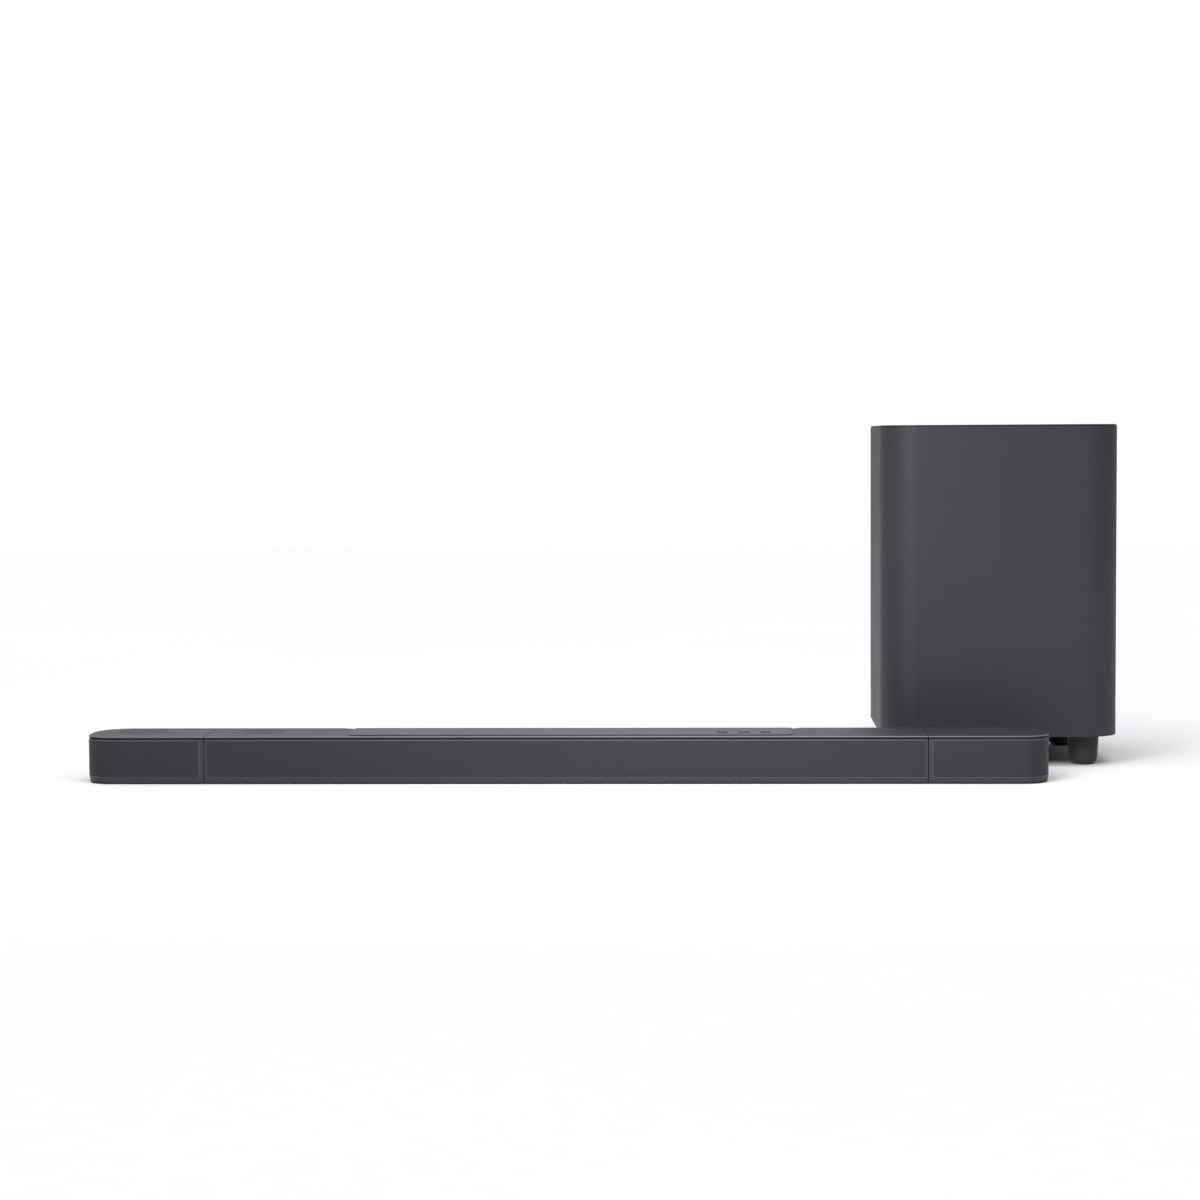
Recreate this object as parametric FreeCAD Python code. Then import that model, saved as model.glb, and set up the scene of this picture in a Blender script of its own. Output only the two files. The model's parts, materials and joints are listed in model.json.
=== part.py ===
"""Soundbar with two detachable end speakers and a free-standing wireless subwoofer.

Millimetres. +X runs along the bar to the listener's right, +Y to the back and +Z up. The origin is on
the floor, under the middle of the bar. Every separate piece is written to parts/NODE.step.
"""
import FreeCAD, Part
import math
import os

from FreeCAD import Vector

X_AXIS = Vector(1, 0, 0)
Y_AXIS = Vector(0, 1, 0)
Z_AXIS = Vector(0, 0, 1)
ORIGIN = Vector(0, 0, 0)

# ---------------------------------------------------------------- driving dimensions: bar
BAR_LENGTH = 1194.0
BAR_DEPTH = 102.0
BAR_TOP = 59.0
END_LENGTH = 149.8
SEAM = 0.8
FRONT_R = 32.0
BACK_R = 46.0
FOOT_PROUD = 1.5
WALL = 2.5

HALF_LENGTH = BAR_LENGTH / 2
FRONT_Y = -BAR_DEPTH / 2
BACK_Y = BAR_DEPTH / 2
MAIN_X = HALF_LENGTH - END_LENGTH - SEAM / 2
END_X = HALF_LENGTH - END_LENGTH + SEAM / 2

# layers of the bar, from the floor up
BASE_Z = FOOT_PROUD
FLOOR_Z = BASE_Z + WALL
COVER_RIM = 1.9
COVER_Z = BAR_TOP - COVER_RIM
COVER_LINER = 1.5
LINER_Z = COVER_Z - COVER_LINER
COVER_GAP = 0.4
WALL_TOP = COVER_Z - COVER_GAP
SHADOW_GAP = 1.5
GRILLE_TOP = COVER_Z - SHADOW_GAP
EDGE_R = 1.2
FIT = 0.3

# grille pans and the baffle behind them
SHEET = 0.9
GRILLE_DEPTH = 4.0
BASE_SETBACK = 1.0
BAFFLE_SETBACK = 4.5
BAFFLE = 4.0
BAFFLE_Y = FRONT_Y + BAFFLE_SETBACK
BAFFLE_BACK_Y = BAFFLE_Y + BAFFLE
GRILLE_END_Y = 0.0

# control panel on the top cover
PANEL_LEFT = -270.0
PANEL_RIGHT = 281.0
PANEL_FRONT_Y = FRONT_Y + 14.0
PANEL_BACK_Y = FRONT_Y + 93.0
PANEL_TOP = BAR_TOP + 1.0
PANEL_CORNER = 9.0
PANEL_BACK_CORNER = 2.0
PANEL_SKIN = 0.6
PANEL_UNDERCUT = 1.5
PANEL_SEAT_Z = COVER_Z + 0.7
PANEL_GAP = 1.4
RAMP = 14.0
BUTTON_X = (195.0, 222.0, 248.5)
BUTTON_NAMES = ("button_power", "button_volume_down", "button_volume_up")
BUTTON_Y = FRONT_Y + 40.0
BUTTON_R = 6.5
BUTTON_TRAVEL = 0.6
BUTTON_PROUD = 0.8
MICROPHONES = 5
MICROPHONE_PITCH = 4.0
MICROPHONE_Y = 18.0

# racetrack woofers, dome tweeters and upward drivers
WOOFER_LONG = 90.0
WOOFER_SHORT = 46.0
WOOFER_X = (-330.0, -75.0, 75.0, 330.0)
WOOFER_NAMES = ("woofer_cone_left", "woofer_cone_centre_left", "woofer_cone_centre_right", "woofer_cone_right")
TWEETER_X = (-266.0, 0.0, 266.0)
TWEETER_R = 13.0
DRIVER_Z = 30.0
FLANGE = 2.0
UP_X = 388.0
UP_Y = 10.0
UP_Z = 46.0
UP_R = 36.0
UP_TILT = 10.0
UP_FIELD_R = 33.0
UP_SKIN = 1.4
UP_SLOT = 1.2
UP_SLOT_PITCH = 5.0
UP_SLOTS = 6
END_WOOFER_X = 496.0
END_TWEETER_X = 556.0
END_UP_X = 535.0
COIL_R = 9.5
COIL_GAP = 0.8
PIPE = 0.4
ROLL = 5.6
MOTOR_Z = -15.0
DISPLAY = (140.0, 230.0, 19.0, 41.0)

# feet, screws and circuit boards of the bar
MAIN_FEET = (-400.0, 0.0, 400.0)
MAIN_FOOT_LENGTH = 96.0
END_FEET = (472.0, 562.0)
END_FOOT_LENGTH = 60.0
FOOT_WIDTH = 12.0
FOOT_POCKET = 1.5
SCREW_X = (-420.0, -210.0, -140.0, 140.0, 210.0, 420.0)
SCREW_Y = (-37.0, 44.0)
SCREW_R = 1.5
SCREW_HEAD_R = 2.9
BOSS_R = 4.0
BOSS_TOP = 14.0
BOARD_Z = 12.0
BOARD_Y = (-16.0, 20.0)
BOARD_X = ((-240.0, -22.0), (22.0, 240.0))
BOARD_THICK = 1.6
END_BUTTON = (528.0, 30.0)
END_BUTTON_R = 4.5
CHARGE_X = 500.0

# docking joint between the bar and an end speaker
DOCK_PLATE = 3.0
DOCK_Z = 29.0
PLUG_HALF_Y = 17.0
PLUG_HALF_Z = 8.0
PLUG_LENGTH = 13.0
PIN_R = 3.0
PIN_Y = 34.0
PIN_LENGTH = 10.0

# recess for the cables at the back of the bar
BAY_HALF = 120.0
BAY_LOW = 8.0
BAY_HIGH = 44.0
BAY_FLOOR_Y = 31.0
TRAY = 2.0
SOCKET_DEPTH = 12.0
SOCKETS = (
    (-96.0, 15.6, 6.6),
    (-70.0, 15.6, 6.6),
    (-44.0, 15.6, 6.6),
    (-14.0, 11.0, 11.0),
    (18.0, 15.0, 13.0),
    (50.0, 13.8, 6.8),
)
SOCKET_WALL = 0.8
TONGUED = (0, 1, 2, 5)
INLET_X = 92.0
INLET_W = 22.0
INLET_H = 12.0
INLET_LENGTH = 18.0
INLET_PROUD = 2.0
WALL_SCREW_X = 300.0
WALL_SCREW_Z = 30.0
WALL_SCREW_R = 2.0

# ---------------------------------------------------------------- driving dimensions: subwoofer
SUB_X = 553.0
SUB_Y = 275.5
SUB_WIDTH = 305.0
SUB_TOP = 440.0
SUB_BASE = 38.8
SUB_R = 45.0
SUB_WALL = 15.0
SUB_HALF = SUB_WIDTH / 2
SUB_BACK_Y = SUB_Y + SUB_HALF
SUB_BOARD = 15.0
SUB_RECESS = 3.0
SUB_CAP = 2.0
SUB_CAP_INSET = 0.8
SUB_FOOT_INSET = 42.0
SUB_FOOT_R = 20.5
SUB_FOOT_TIP_R = 18.0
SUB_FOOT_ROUND = 8.5
SUB_FOOT_SCREW_R = 2.5
SUB_OPEN_R = 118.0
SUB_COIL_R = 25.0
SUB_CONE_R = 96.0
SUB_FLANGE_R = 128.0
PORT_Z = 350.0
PORT_R = 33.0
PORT_LENGTH = 170.0
PORT_FLARE = 16.0
PORT_WALL = 3.0
PLATE_HALF_X = 80.0
PLATE_LOW = 75.0
PLATE_HIGH = 255.0
PLATE_THICK = 3.0
PLATE_OVERLAP = 9.0
SUB_FLOOR_Z = SUB_BASE + SUB_RECESS
SUB_PROUD = 0.5
SUB_INLET_Z = PLATE_LOW + 28.0
SUB_BUTTON = (SUB_X + 40.0, PLATE_LOW + 28.0)
SUB_BUTTON_R = 5.0

parts = {}


# ---------------------------------------------------------------- geometry helpers
def box(x0, x1, y0, y1, z0, z1):
    return Part.makeBox(x1 - x0, y1 - y0, z1 - z0, Vector(x0, y0, z0))


def rod(radius, start, direction, length):
    return Part.makeCylinder(radius, length, Vector(*start), direction)


def fused(shapes):
    shapes = list(shapes)
    whole = shapes[0]
    for shape in shapes[1:]:
        whole = whole.fuse(shape)
    return whole.removeSplitter()


def cut_all(shape, tools):
    for tool in tools:
        shape = shape.cut(tool)
    return shape


def arc_edge(centre_x, centre_y, radius, start_deg, end_deg, z):
    points = []
    for degrees in (start_deg, (start_deg + end_deg) / 2, end_deg):
        angle = math.radians(degrees)
        points.append(Vector(centre_x + radius * math.cos(angle), centre_y + radius * math.sin(angle), z))
    return Part.Arc(*points).toShape()


def rounded_face(x0, x1, y0, y1, front_r, back_r, z):
    """A flat rectangle with one radius on its two front corners and another on its two back ones."""
    corners = (
        (x1 - back_r, y1 - back_r, back_r, 0),
        (x0 + back_r, y1 - back_r, back_r, 90),
        (x0 + front_r, y0 + front_r, front_r, 180),
        (x1 - front_r, y0 + front_r, front_r, 270),
    )
    arcs = [arc_edge(cx, cy, r, start, start + 90, z) for cx, cy, r, start in corners]
    edges = []
    for here, after in zip(arcs, arcs[1:] + arcs[:1]):
        edges.append(here)
        start = here.valueAt(here.LastParameter)
        end = after.valueAt(after.FirstParameter)
        if (end - start).Length > 1e-6:
            edges.append(Part.LineSegment(start, end).toShape())
    return Part.Face(Part.Wire(Part.__sortEdges__(edges)))


def rounded_slab(x0, x1, y0, y1, front_r, back_r, z0, z1):
    return rounded_face(x0, x1, y0, y1, front_r, back_r, z0).extrude(Vector(0, 0, z1 - z0))


def bar_slab(inset, z0, z1):
    """A horizontal slice of the whole bar, with its outline moved in by inset."""
    edge = HALF_LENGTH - inset
    return rounded_slab(-edge, edge, FRONT_Y + inset, BACK_Y - inset, FRONT_R - inset, BACK_R - inset, z0, z1)


def bar_ring(outer_inset, inner_inset, z0, z1):
    return bar_slab(outer_inset, z0, z1).cut(bar_slab(inner_inset, z0, z1))


def stadium(length, width, z0, z1):
    """An upright stadium-shaped block, centred on the origin."""
    r = width / 2
    return rounded_slab(-length / 2, length / 2, -r, r, r, r, z0, z1)


def stadium_loft(low, high):
    """A tapered stadium-shaped block between two sections, each (length, width, z)."""
    wires = []
    for length, width, z in (low, high):
        r = width / 2
        wires.append(rounded_face(-length / 2, length / 2, -r, r, r, r, z).OuterWire)
    return Part.makeLoft(wires, True, True)


def turned(profile):
    """A solid turned about Z from (radius, height) corners."""
    points = [Vector(r, 0, z) for r, z in profile]
    face = Part.Face(Part.makePolygon(points + points[:1]))
    return face.revolve(ORIGIN, Z_AXIS, 360)


def moved(shape, x, y, z, tilt=0.0):
    """The shape turned about the X axis and then carried to a place."""
    copy = shape.copy()
    if tilt:
        copy.rotate(ORIGIN, X_AXIS, tilt)
    copy.translate(Vector(x, y, z))
    return copy


def mirrored(shape):
    return shape.mirror(ORIGIN, X_AXIS)


def edges_on_top(shape, z, keep):
    return [e for e in shape.Edges if all(abs(v.Z - z) < 1e-4 for v in e.Vertexes) and keep(e)]


# ---------------------------------------------------------------- loudspeaker drivers
# Each one is made facing +Z, with the seat of its mounting flange at Z = 0.
def motor(radius, top, bottom, coil_r):
    """Magnet and yoke, with the round slot that the voice coil moves in."""
    slot_floor = bottom + 3.0
    return turned([
        (0, bottom), (radius, bottom), (radius, top), (coil_r + COIL_GAP, top), (coil_r + COIL_GAP, slot_floor),
        (coil_r - COIL_GAP, slot_floor), (coil_r - COIL_GAP, top), (0, top),
    ])


def woofer_frame():
    """Stamped racetrack frame with its magnet, and the rubber roll inside its flange."""
    open_long, open_short = WOOFER_LONG - 8, WOOFER_SHORT - 8
    flange = stadium(WOOFER_LONG, WOOFER_SHORT, 0, FLANGE).cut(stadium(open_long, open_short, -1, FLANGE + 1))
    outer = stadium_loft((46, 34, MOTOR_Z), (open_long + 1, open_short + 1, 0.2))
    inner = stadium_loft((43, 31, MOTOR_Z + 1.5), (open_long - 0.6, open_short - 0.6, 0.3))
    hole = rod(COIL_R + COIL_GAP, (0, 0, MOTOR_Z - 1), Z_AXIS, 4)
    frame = fused([flange, outer.cut(inner).cut(hole), motor(16.5, MOTOR_Z, -27.5, COIL_R)])
    roll_long, roll_short = open_long - 2 * ROLL, open_short - 2 * ROLL
    roll = stadium(open_long - 0.2, open_short - 0.2, 0.4, 1.6).cut(stadium(roll_long, roll_short, 0, 2))
    return Part.makeCompound([frame, roll])


def woofer_cone():
    """Racetrack cone with its collar, dust cap and voice coil pipe: the piece that moves."""
    long, short = WOOFER_LONG - 8 - 2 * ROLL - 0.6, WOOFER_SHORT - 8 - 2 * ROLL - 0.6
    neck = 2 * COIL_R + 3
    rim_z, neck_z = -0.6, -8.0
    outer = stadium_loft((neck + 2, neck, neck_z), (long, short, rim_z))
    inner = stadium_loft((neck + 0.4, neck - 1.6, neck_z + 0.9), (long - 1.6, short - 1.6, rim_z + 0.1))
    collar = stadium(long, short, rim_z - 0.1, rim_z + 1.6).cut(stadium(long - 1.4, short - 1.4, -1, 2))
    pipe = rod(COIL_R + PIPE, (0, 0, MOTOR_Z - 5), Z_AXIS, neck_z - MOTOR_Z + 5.5)
    bore = rod(COIL_R - PIPE, (0, 0, MOTOR_Z - 6), Z_AXIS, neck_z - MOTOR_Z + 5)
    cap = Part.makeSphere(16, Vector(0, 0, neck_z - 10)).common(rod(COIL_R + 1.6, (0, 0, neck_z), Z_AXIS, 8))
    return fused([outer.cut(inner), collar, cap, pipe.cut(bore)])


def tweeter():
    dome = Part.makeSphere(11, Vector(0, 0, -8.4)).common(rod(8.5, (0, 0, 0), Z_AXIS, 6))
    plate = rod(TWEETER_R, (0, 0, 0), Z_AXIS, 1.4)
    body = rod(9.5, (0, 0, -14), Z_AXIS, 14)
    return fused([plate, body, dome])


def round_frame(flange_r, open_r, seat_r, motor_r, motor_top, motor_bottom, coil_r):
    """Cast round frame, open between its flange and its back plate, with its magnet."""
    back_r = motor_r + 4
    shell = turned([
        (flange_r, 0), (flange_r, FLANGE), (open_r, FLANGE), (open_r, 0), (back_r - 2, motor_top + 2),
        (coil_r + COIL_GAP, motor_top + 2), (coil_r + COIL_GAP, motor_top), (back_r, motor_top), (seat_r, 0),
    ])
    return fused([shell, motor(motor_r, motor_top, motor_bottom, coil_r)])


def round_roll(open_r, cone_r, rise, low):
    """Half-round rubber roll between the frame and the cone's collar."""
    middle = (open_r + cone_r) / 2
    half = (open_r - cone_r) / 2
    outer = [(middle + half * math.cos(a), low + rise * math.sin(a)) for a in half_turn()]
    skin = 1.2
    inner = [(middle + (half - skin) * math.cos(a), low + (rise - skin) * math.sin(a)) for a in half_turn()]
    return turned(outer + inner[::-1])


def half_turn():
    steps = 10
    return [math.pi * i / steps for i in range(steps + 1)]


def round_cone(cone_r, coil_r, rim_z, neck_z, coil_low, skin, collar):
    """Paper cone with a collar at its rim, a dust cap and the voice coil pipe."""
    return turned([
        (0, neck_z + 3.2 * skin), (coil_r * 0.6, neck_z + 2.6 * skin), (coil_r + 2 * skin, neck_z + skin),
        (cone_r - skin, rim_z), (cone_r - skin, rim_z + collar), (cone_r, rim_z + collar),
        (cone_r, rim_z - skin), (coil_r + PIPE + skin, neck_z - skin), (coil_r + PIPE, neck_z - skin),
        (coil_r + PIPE, coil_low),
        (coil_r - PIPE, coil_low), (coil_r - PIPE, neck_z), (0, neck_z),
    ])


def up_frame():
    frame = round_frame(UP_R, UP_R - 3, UP_R - 2, 18, -14, -28, COIL_R)
    return Part.makeCompound([frame, round_roll(UP_R - 3.1, UP_R - 10, 2.6, 0.2)])


def up_cone():
    return round_cone(UP_R - 10.3, COIL_R, -0.5, -7.5, -19, 0.8, 1.4)


# ---------------------------------------------------------------- main bar
def place_front(shape, x):
    return moved(shape, x, BAFFLE_Y, DRIVER_Z, 90)


def place_up(shape, x):
    return moved(moved(shape, 0, 0, -FLANGE), x, UP_Y, UP_Z, UP_TILT)


def foot_strip(x, length, grow, z0, z1):
    half, radius = FOOT_WIDTH / 2, FOOT_WIDTH / 2 - 0.5
    reach = length / 2 + grow
    block = rounded_slab(-half - grow, half + grow, -reach, reach, radius, radius, z0, z1)
    return moved(block, x, 0, 0)


def screw_places():
    return [(x, y) for x in SCREW_X for y in SCREW_Y]


def bottom_housing():
    """Tray of the bar: floor, back wall, bosses, and the cut-outs for the cable recess and the feet."""
    floor = box(-MAIN_X, MAIN_X, FRONT_Y + BASE_SETBACK, BACK_Y - BASE_SETBACK, BASE_Z, FLOOR_Z)
    back = box(-MAIN_X, MAIN_X, BACK_Y - WALL, BACK_Y, FLOOR_Z - 0.5, WALL_TOP)
    bosses = [rod(BOSS_R, (x, y, FLOOR_Z - 0.5), Z_AXIS, BOSS_TOP - FLOOR_Z) for x, y in screw_places()]
    for x0, x1 in BOARD_X:
        for x in (x0 + 8, x1 - 8):
            for y in (BOARD_Y[0] + 6, BOARD_Y[1] - 6):
                bosses.append(rod(3.5, (x, y, FLOOR_Z - 0.5), Z_AXIS, BOARD_Z - FLOOR_Z + 0.5))
    wall_bosses = [rod(5, (x, BACK_Y - 14, WALL_SCREW_Z), Y_AXIS, 12) for x in (-WALL_SCREW_X, WALL_SCREW_X)]
    tray = fused([floor, back] + bosses + wall_bosses)
    tools = [box(-BAY_HALF, BAY_HALF, BACK_Y - WALL - 1, BACK_Y + 1, BAY_LOW, BAY_HIGH)]
    tools += [foot_strip(x, MAIN_FOOT_LENGTH, 0.1, BASE_Z - 1, BASE_Z + FOOT_POCKET) for x in MAIN_FEET]
    tools += [rod(WALL_SCREW_R, (x, BACK_Y - 12, WALL_SCREW_Z), Y_AXIS, 14)
              for x in (-WALL_SCREW_X, WALL_SCREW_X)]
    for x, y in screw_places():
        tools.append(rod(SCREW_R + 0.1, (x, y, BASE_Z - 1), Z_AXIS, BOSS_TOP))
        tools.append(rod(SCREW_HEAD_R + 0.2, (x, y, BASE_Z - 1), Z_AXIS, 2.4))
    return cut_all(tray, tools)


def up_collar(x):
    """Wedge-shaped collar under the cover that tilts an upward driver towards the listener."""
    tube = rod(UP_R + 2, (x, UP_Y, UP_Z - 8), Z_AXIS, COVER_Z - UP_Z + 8)
    bore = rod(UP_R - 3, (x, UP_Y, UP_Z - 9), Z_AXIS, COVER_Z)
    below = moved(box(-60, 60, -60, 60, -60, 0), x, UP_Y, UP_Z, UP_TILT)
    return tube.cut(bore).cut(below)


def slots(x):
    """The row of slots that lets the sound of an upward driver through the cover."""
    field = rod(UP_FIELD_R, (x, UP_Y, LINER_Z - 1), Z_AXIS, COVER_RIM + COVER_LINER + 2)
    half = UP_SLOT / 2
    bars = []
    for i in range(-UP_SLOTS, UP_SLOTS + 1):
        y = UP_Y + i * UP_SLOT_PITCH
        bar = box(x - UP_FIELD_R, x + UP_FIELD_R, y - half, y + half, LINER_Z - 1, BAR_TOP + 1)
        bars.append(bar.common(field))
    return bars


def pierced_cover(plate, x):
    """Adds the collar of an upward driver, thins the cover over it and cuts the slots."""
    pocket = rod(UP_FIELD_R, (x, UP_Y, LINER_Z - 1), Z_AXIS, BAR_TOP - UP_SKIN - LINER_Z + 1)
    return cut_all(fused([plate, up_collar(x)]).cut(pocket), slots(x))


def ramp(x_deep, x_shallow):
    """Sloping cut beside an end of the panel, from the panel's seat up to the top of the cover."""
    y0, y1 = PANEL_FRONT_Y - PANEL_GAP + PANEL_CORNER, BACK_Y + 1
    profile = ((x_deep, PANEL_SEAT_Z), (x_shallow, BAR_TOP + 0.01), (x_deep, BAR_TOP + 1))
    corners = [Vector(x, y0, z) for x, z in profile]
    return Part.Face(Part.makePolygon(corners + corners[:1])).extrude(Vector(0, y1 - y0, 0))


def top_cover():
    """Lid of the bar, with the shallow seat of the control panel and the two slotted grilles."""
    rim = box(-MAIN_X, MAIN_X, FRONT_Y, BACK_Y, COVER_Z, BAR_TOP)
    long_edges = edges_on_top(rim, BAR_TOP, lambda e: e.Length > 2 * MAIN_X - 1)
    rim = rim.makeFillet(EDGE_R, long_edges)
    liner = box(-MAIN_X + 3.6, MAIN_X - 3.6, BAFFLE_BACK_Y + 0.4, BACK_Y - WALL - 0.4, LINER_Z, COVER_Z)
    plate = fused([rim, liner])
    left, right = PANEL_LEFT - PANEL_GAP, PANEL_RIGHT + PANEL_GAP
    front, back = PANEL_FRONT_Y - PANEL_GAP, PANEL_BACK_Y + PANEL_GAP
    corner = PANEL_CORNER + PANEL_GAP
    seat = rounded_slab(left, right, front, back, corner, PANEL_BACK_CORNER, PANEL_SEAT_Z, BAR_TOP + 1)
    plate = cut_all(plate, [seat, ramp(left + 0.1, left - RAMP), ramp(right - 0.1, right + RAMP)])
    for x in (-UP_X, UP_X):
        plate = pierced_cover(plate, x)
    ports = [rod(1.2, (x, MICROPHONE_Y, LINER_Z - 1), Z_AXIS, 8) for x in microphone_places()]
    holes = [rod(BUTTON_R - 2, (x, BUTTON_Y, LINER_Z - 1), Z_AXIS, 8) for x in BUTTON_X]
    return cut_all(plate, ports + holes)


def microphone_places():
    return [(i - (MICROPHONES - 1) / 2) * MICROPHONE_PITCH for i in range(MICROPHONES)]


def panel_slab(inset, z0, z1):
    """A slice of the control panel, with its outline moved in by inset."""
    return rounded_slab(PANEL_LEFT + inset, PANEL_RIGHT - inset, PANEL_FRONT_Y + inset, PANEL_BACK_Y - inset,
                        PANEL_CORNER - inset, PANEL_BACK_CORNER - inset, z0, z1)


def control_panel():
    """Raised smooth panel in the middle of the top: a thin sheet that overhangs its seat all round."""
    sheet_z = PANEL_TOP - PANEL_SKIN
    sheet = panel_slab(0, sheet_z, PANEL_TOP)
    sheet = sheet.makeFillet(0.3, edges_on_top(sheet, PANEL_TOP, lambda e: True))
    panel = fused([sheet, panel_slab(PANEL_UNDERCUT, PANEL_SEAT_Z, sheet_z)])
    holes = [rod(BUTTON_R + FIT, (x, BUTTON_Y, PANEL_SEAT_Z - 1), Z_AXIS, 5) for x in BUTTON_X]
    ports = [rod(0.7, (x, MICROPHONE_Y, PANEL_SEAT_Z - 1), Z_AXIS, 5) for x in microphone_places()]
    return cut_all(panel, holes + ports)


def top_button(x):
    """Round push button with the stem that reaches its switch through the cover."""
    seat_gap = BUTTON_TRAVEL + 0.2
    low, high = PANEL_SEAT_Z + seat_gap, PANEL_TOP + BUTTON_PROUD
    cap = rod(BUTTON_R, (x, BUTTON_Y, low), Z_AXIS, high - low)
    cap = cap.makeFillet(0.3, edges_on_top(cap, high, lambda e: True))
    stem = rod(BUTTON_R - 3, (x, BUTTON_Y, LINER_Z - 2), Z_AXIS, low - LINER_Z + 2.1)
    return fused([cap, stem])


def front_baffle():
    """Upright board that carries the front drivers and the display."""
    board = box(-MAIN_X + 3.2, MAIN_X - 3.2, BAFFLE_Y, BAFFLE_BACK_Y, FLOOR_Z, WALL_TOP)
    hole = stadium(WOOFER_LONG - 6, WOOFER_SHORT - 6, -BAFFLE - 1, 1)
    tools = [place_front(hole, x) for x in WOOFER_X]
    tools += [place_front(rod(10, (0, 0, -BAFFLE - 1), Z_AXIS, BAFFLE + 2), x) for x in TWEETER_X]
    x0, x1, z0, z1 = DISPLAY
    tools.append(box(x0 + 3, x1 - 3, BAFFLE_Y - 1, BAFFLE_BACK_Y + 1, z0 + 2, z1 - 2))
    return cut_all(board, tools)


def display_module():
    """Dot display behind the grille, on its own small board."""
    x0, x1, z0, z1 = DISPLAY
    board = box(x0, x1, BAFFLE_BACK_Y, BAFFLE_BACK_Y + BOARD_THICK, z0, z1)
    window = box(x0 + 3.3, x1 - 3.3, BAFFLE_Y + 0.6, BAFFLE_BACK_Y + 0.1, z0 + 2.3, z1 - 2.3)
    return fused([board, window])


def front_grille():
    """Sheet metal pan over the front of the bar."""
    pan = box(-MAIN_X, MAIN_X, FRONT_Y, FRONT_Y + GRILLE_DEPTH, FLOOR_Z, GRILLE_TOP)
    inside = box(-MAIN_X + SHEET, MAIN_X - SHEET, FRONT_Y + SHEET, BACK_Y, FLOOR_Z + SHEET, GRILLE_TOP - SHEET)
    return pan.cut(inside)


def dock_plate():
    """Right-hand end wall of the bar, with the socket and the two guide holes of the docking joint.

    The left one is its mirror."""
    x0, x1 = MAIN_X - DOCK_PLATE, MAIN_X
    plate = box(x0, x1, FRONT_Y + GRILLE_DEPTH + 0.2, BACK_Y - WALL - 0.2, FLOOR_Z, WALL_TOP + 0.2)
    clear = 0.5
    y, z = PLUG_HALF_Y + clear, PLUG_HALF_Z + clear
    well = box(x0 - PLUG_LENGTH, x0 + 1, -y - 2, y + 2, DOCK_Z - z - 2, DOCK_Z + z + 2)
    pocket = box(x0 - PLUG_LENGTH + 2, x1 + 1, -y, y, DOCK_Z - z, DOCK_Z + z)
    sleeves = [rod(PIN_R + 2, (x0 - 9, side * PIN_Y, DOCK_Z), X_AXIS, 10) for side in (-1, 1)]
    bores = [rod(PIN_R + FIT, (x0 - 10, side * PIN_Y, DOCK_Z), X_AXIS, 20) for side in (-1, 1)]
    return cut_all(fused([plate, well] + sleeves), [pocket] + bores)


def driver_baskets():
    """The frames and magnets of all fixed drivers in the bar, and its three tweeters."""
    solids = [place_front(woofer_frame(), x) for x in WOOFER_X]
    solids += [place_front(tweeter(), x) for x in TWEETER_X]
    solids += [place_up(up_frame(), x) for x in (-UP_X, UP_X)]
    return Part.makeCompound(solids)


def circuit_board(x0, x1, blocks):
    """A board on its bosses, with blocks on it, each (x, y, length, width, height)."""
    y0, y1 = BOARD_Y
    board = box(x0, x1, y0, y1, BOARD_Z, BOARD_Z + BOARD_THICK)
    top = BOARD_Z + BOARD_THICK - 0.1
    return fused([board] + [box(x, x + l, y, y + w, top, top + h) for x, y, l, w, h in blocks])


def main_board():
    chips = [(-228, -12, 30, 28, 3), (-190, -10, 18, 18, 2.2), (-160, -12, 26, 24, 9), (-124, -8, 14, 14, 2)]
    fins = [(-98 + 6 * i, -13, 2, 30, 20) for i in range(10)]
    return circuit_board(*BOARD_X[0], chips + [(-98, -13, 56, 30, 3)] + fins)


def power_supply():
    blocks = [(40, -12, 34, 26, 26), (84, -10, 20, 20, 22), (112, -13, 16, 30, 16), (136, -12, 24, 10, 24),
              (136, 5, 24, 10, 24), (172, -10, 40, 24, 18)]
    return circuit_board(*BOARD_X[1], blocks)


def key_board():
    """Small board hung under the cover, with one switch below each button and its posts."""
    low, thick = LINER_Z - 5.2, 1.2
    x0, x1 = BUTTON_X[0] - 16, BUTTON_X[-1] + 16
    y0, y1 = BUTTON_Y - 9, BUTTON_Y + 9
    base = low + thick - 0.1
    pieces = [box(x0, x1, y0, y1, low, low + thick)]
    pieces += [box(x - 3, x + 3, BUTTON_Y - 3, BUTTON_Y + 3, base, LINER_Z - 2.9) for x in BUTTON_X]
    pieces += [rod(2, (x, y, base), Z_AXIS, LINER_Z - base)
               for x in (x0 + 3, x1 - 3) for y in (y0 + 3, y1 - 3)]
    return fused(pieces)


def bay_liner():
    """Moulded frame that lines the cable recess in the back of the bar."""
    half, low, high = BAY_HALF - FIT, BAY_LOW + FIT, BAY_HIGH - FIT
    outer = box(-half, half, BAY_FLOOR_Y, BACK_Y, low, high)
    return outer.cut(box(-half + TRAY, half - TRAY, BAY_FLOOR_Y - 1, BACK_Y + 1, low + TRAY, high - TRAY))


def socket_plate():
    """Floor of the cable recess, with a hole for each socket and for the mains inlet."""
    half, low, high = BAY_HALF - FIT, BAY_LOW + FIT, BAY_HIGH - FIT
    plate = box(-half, half, BAY_FLOOR_Y - TRAY, BAY_FLOOR_Y, low, high)
    middle = (BAY_LOW + BAY_HIGH) / 2
    clear = 0.1
    tools = []
    for x, width, height in SOCKETS + ((INLET_X, INLET_W, INLET_H),):
        w, h = width / 2 + clear, height / 2 + clear
        tools.append(box(x - w, x + w, BAY_FLOOR_Y - TRAY - 1, BAY_FLOOR_Y + 1, middle - h, middle + h))
    return cut_all(plate, tools)


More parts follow.
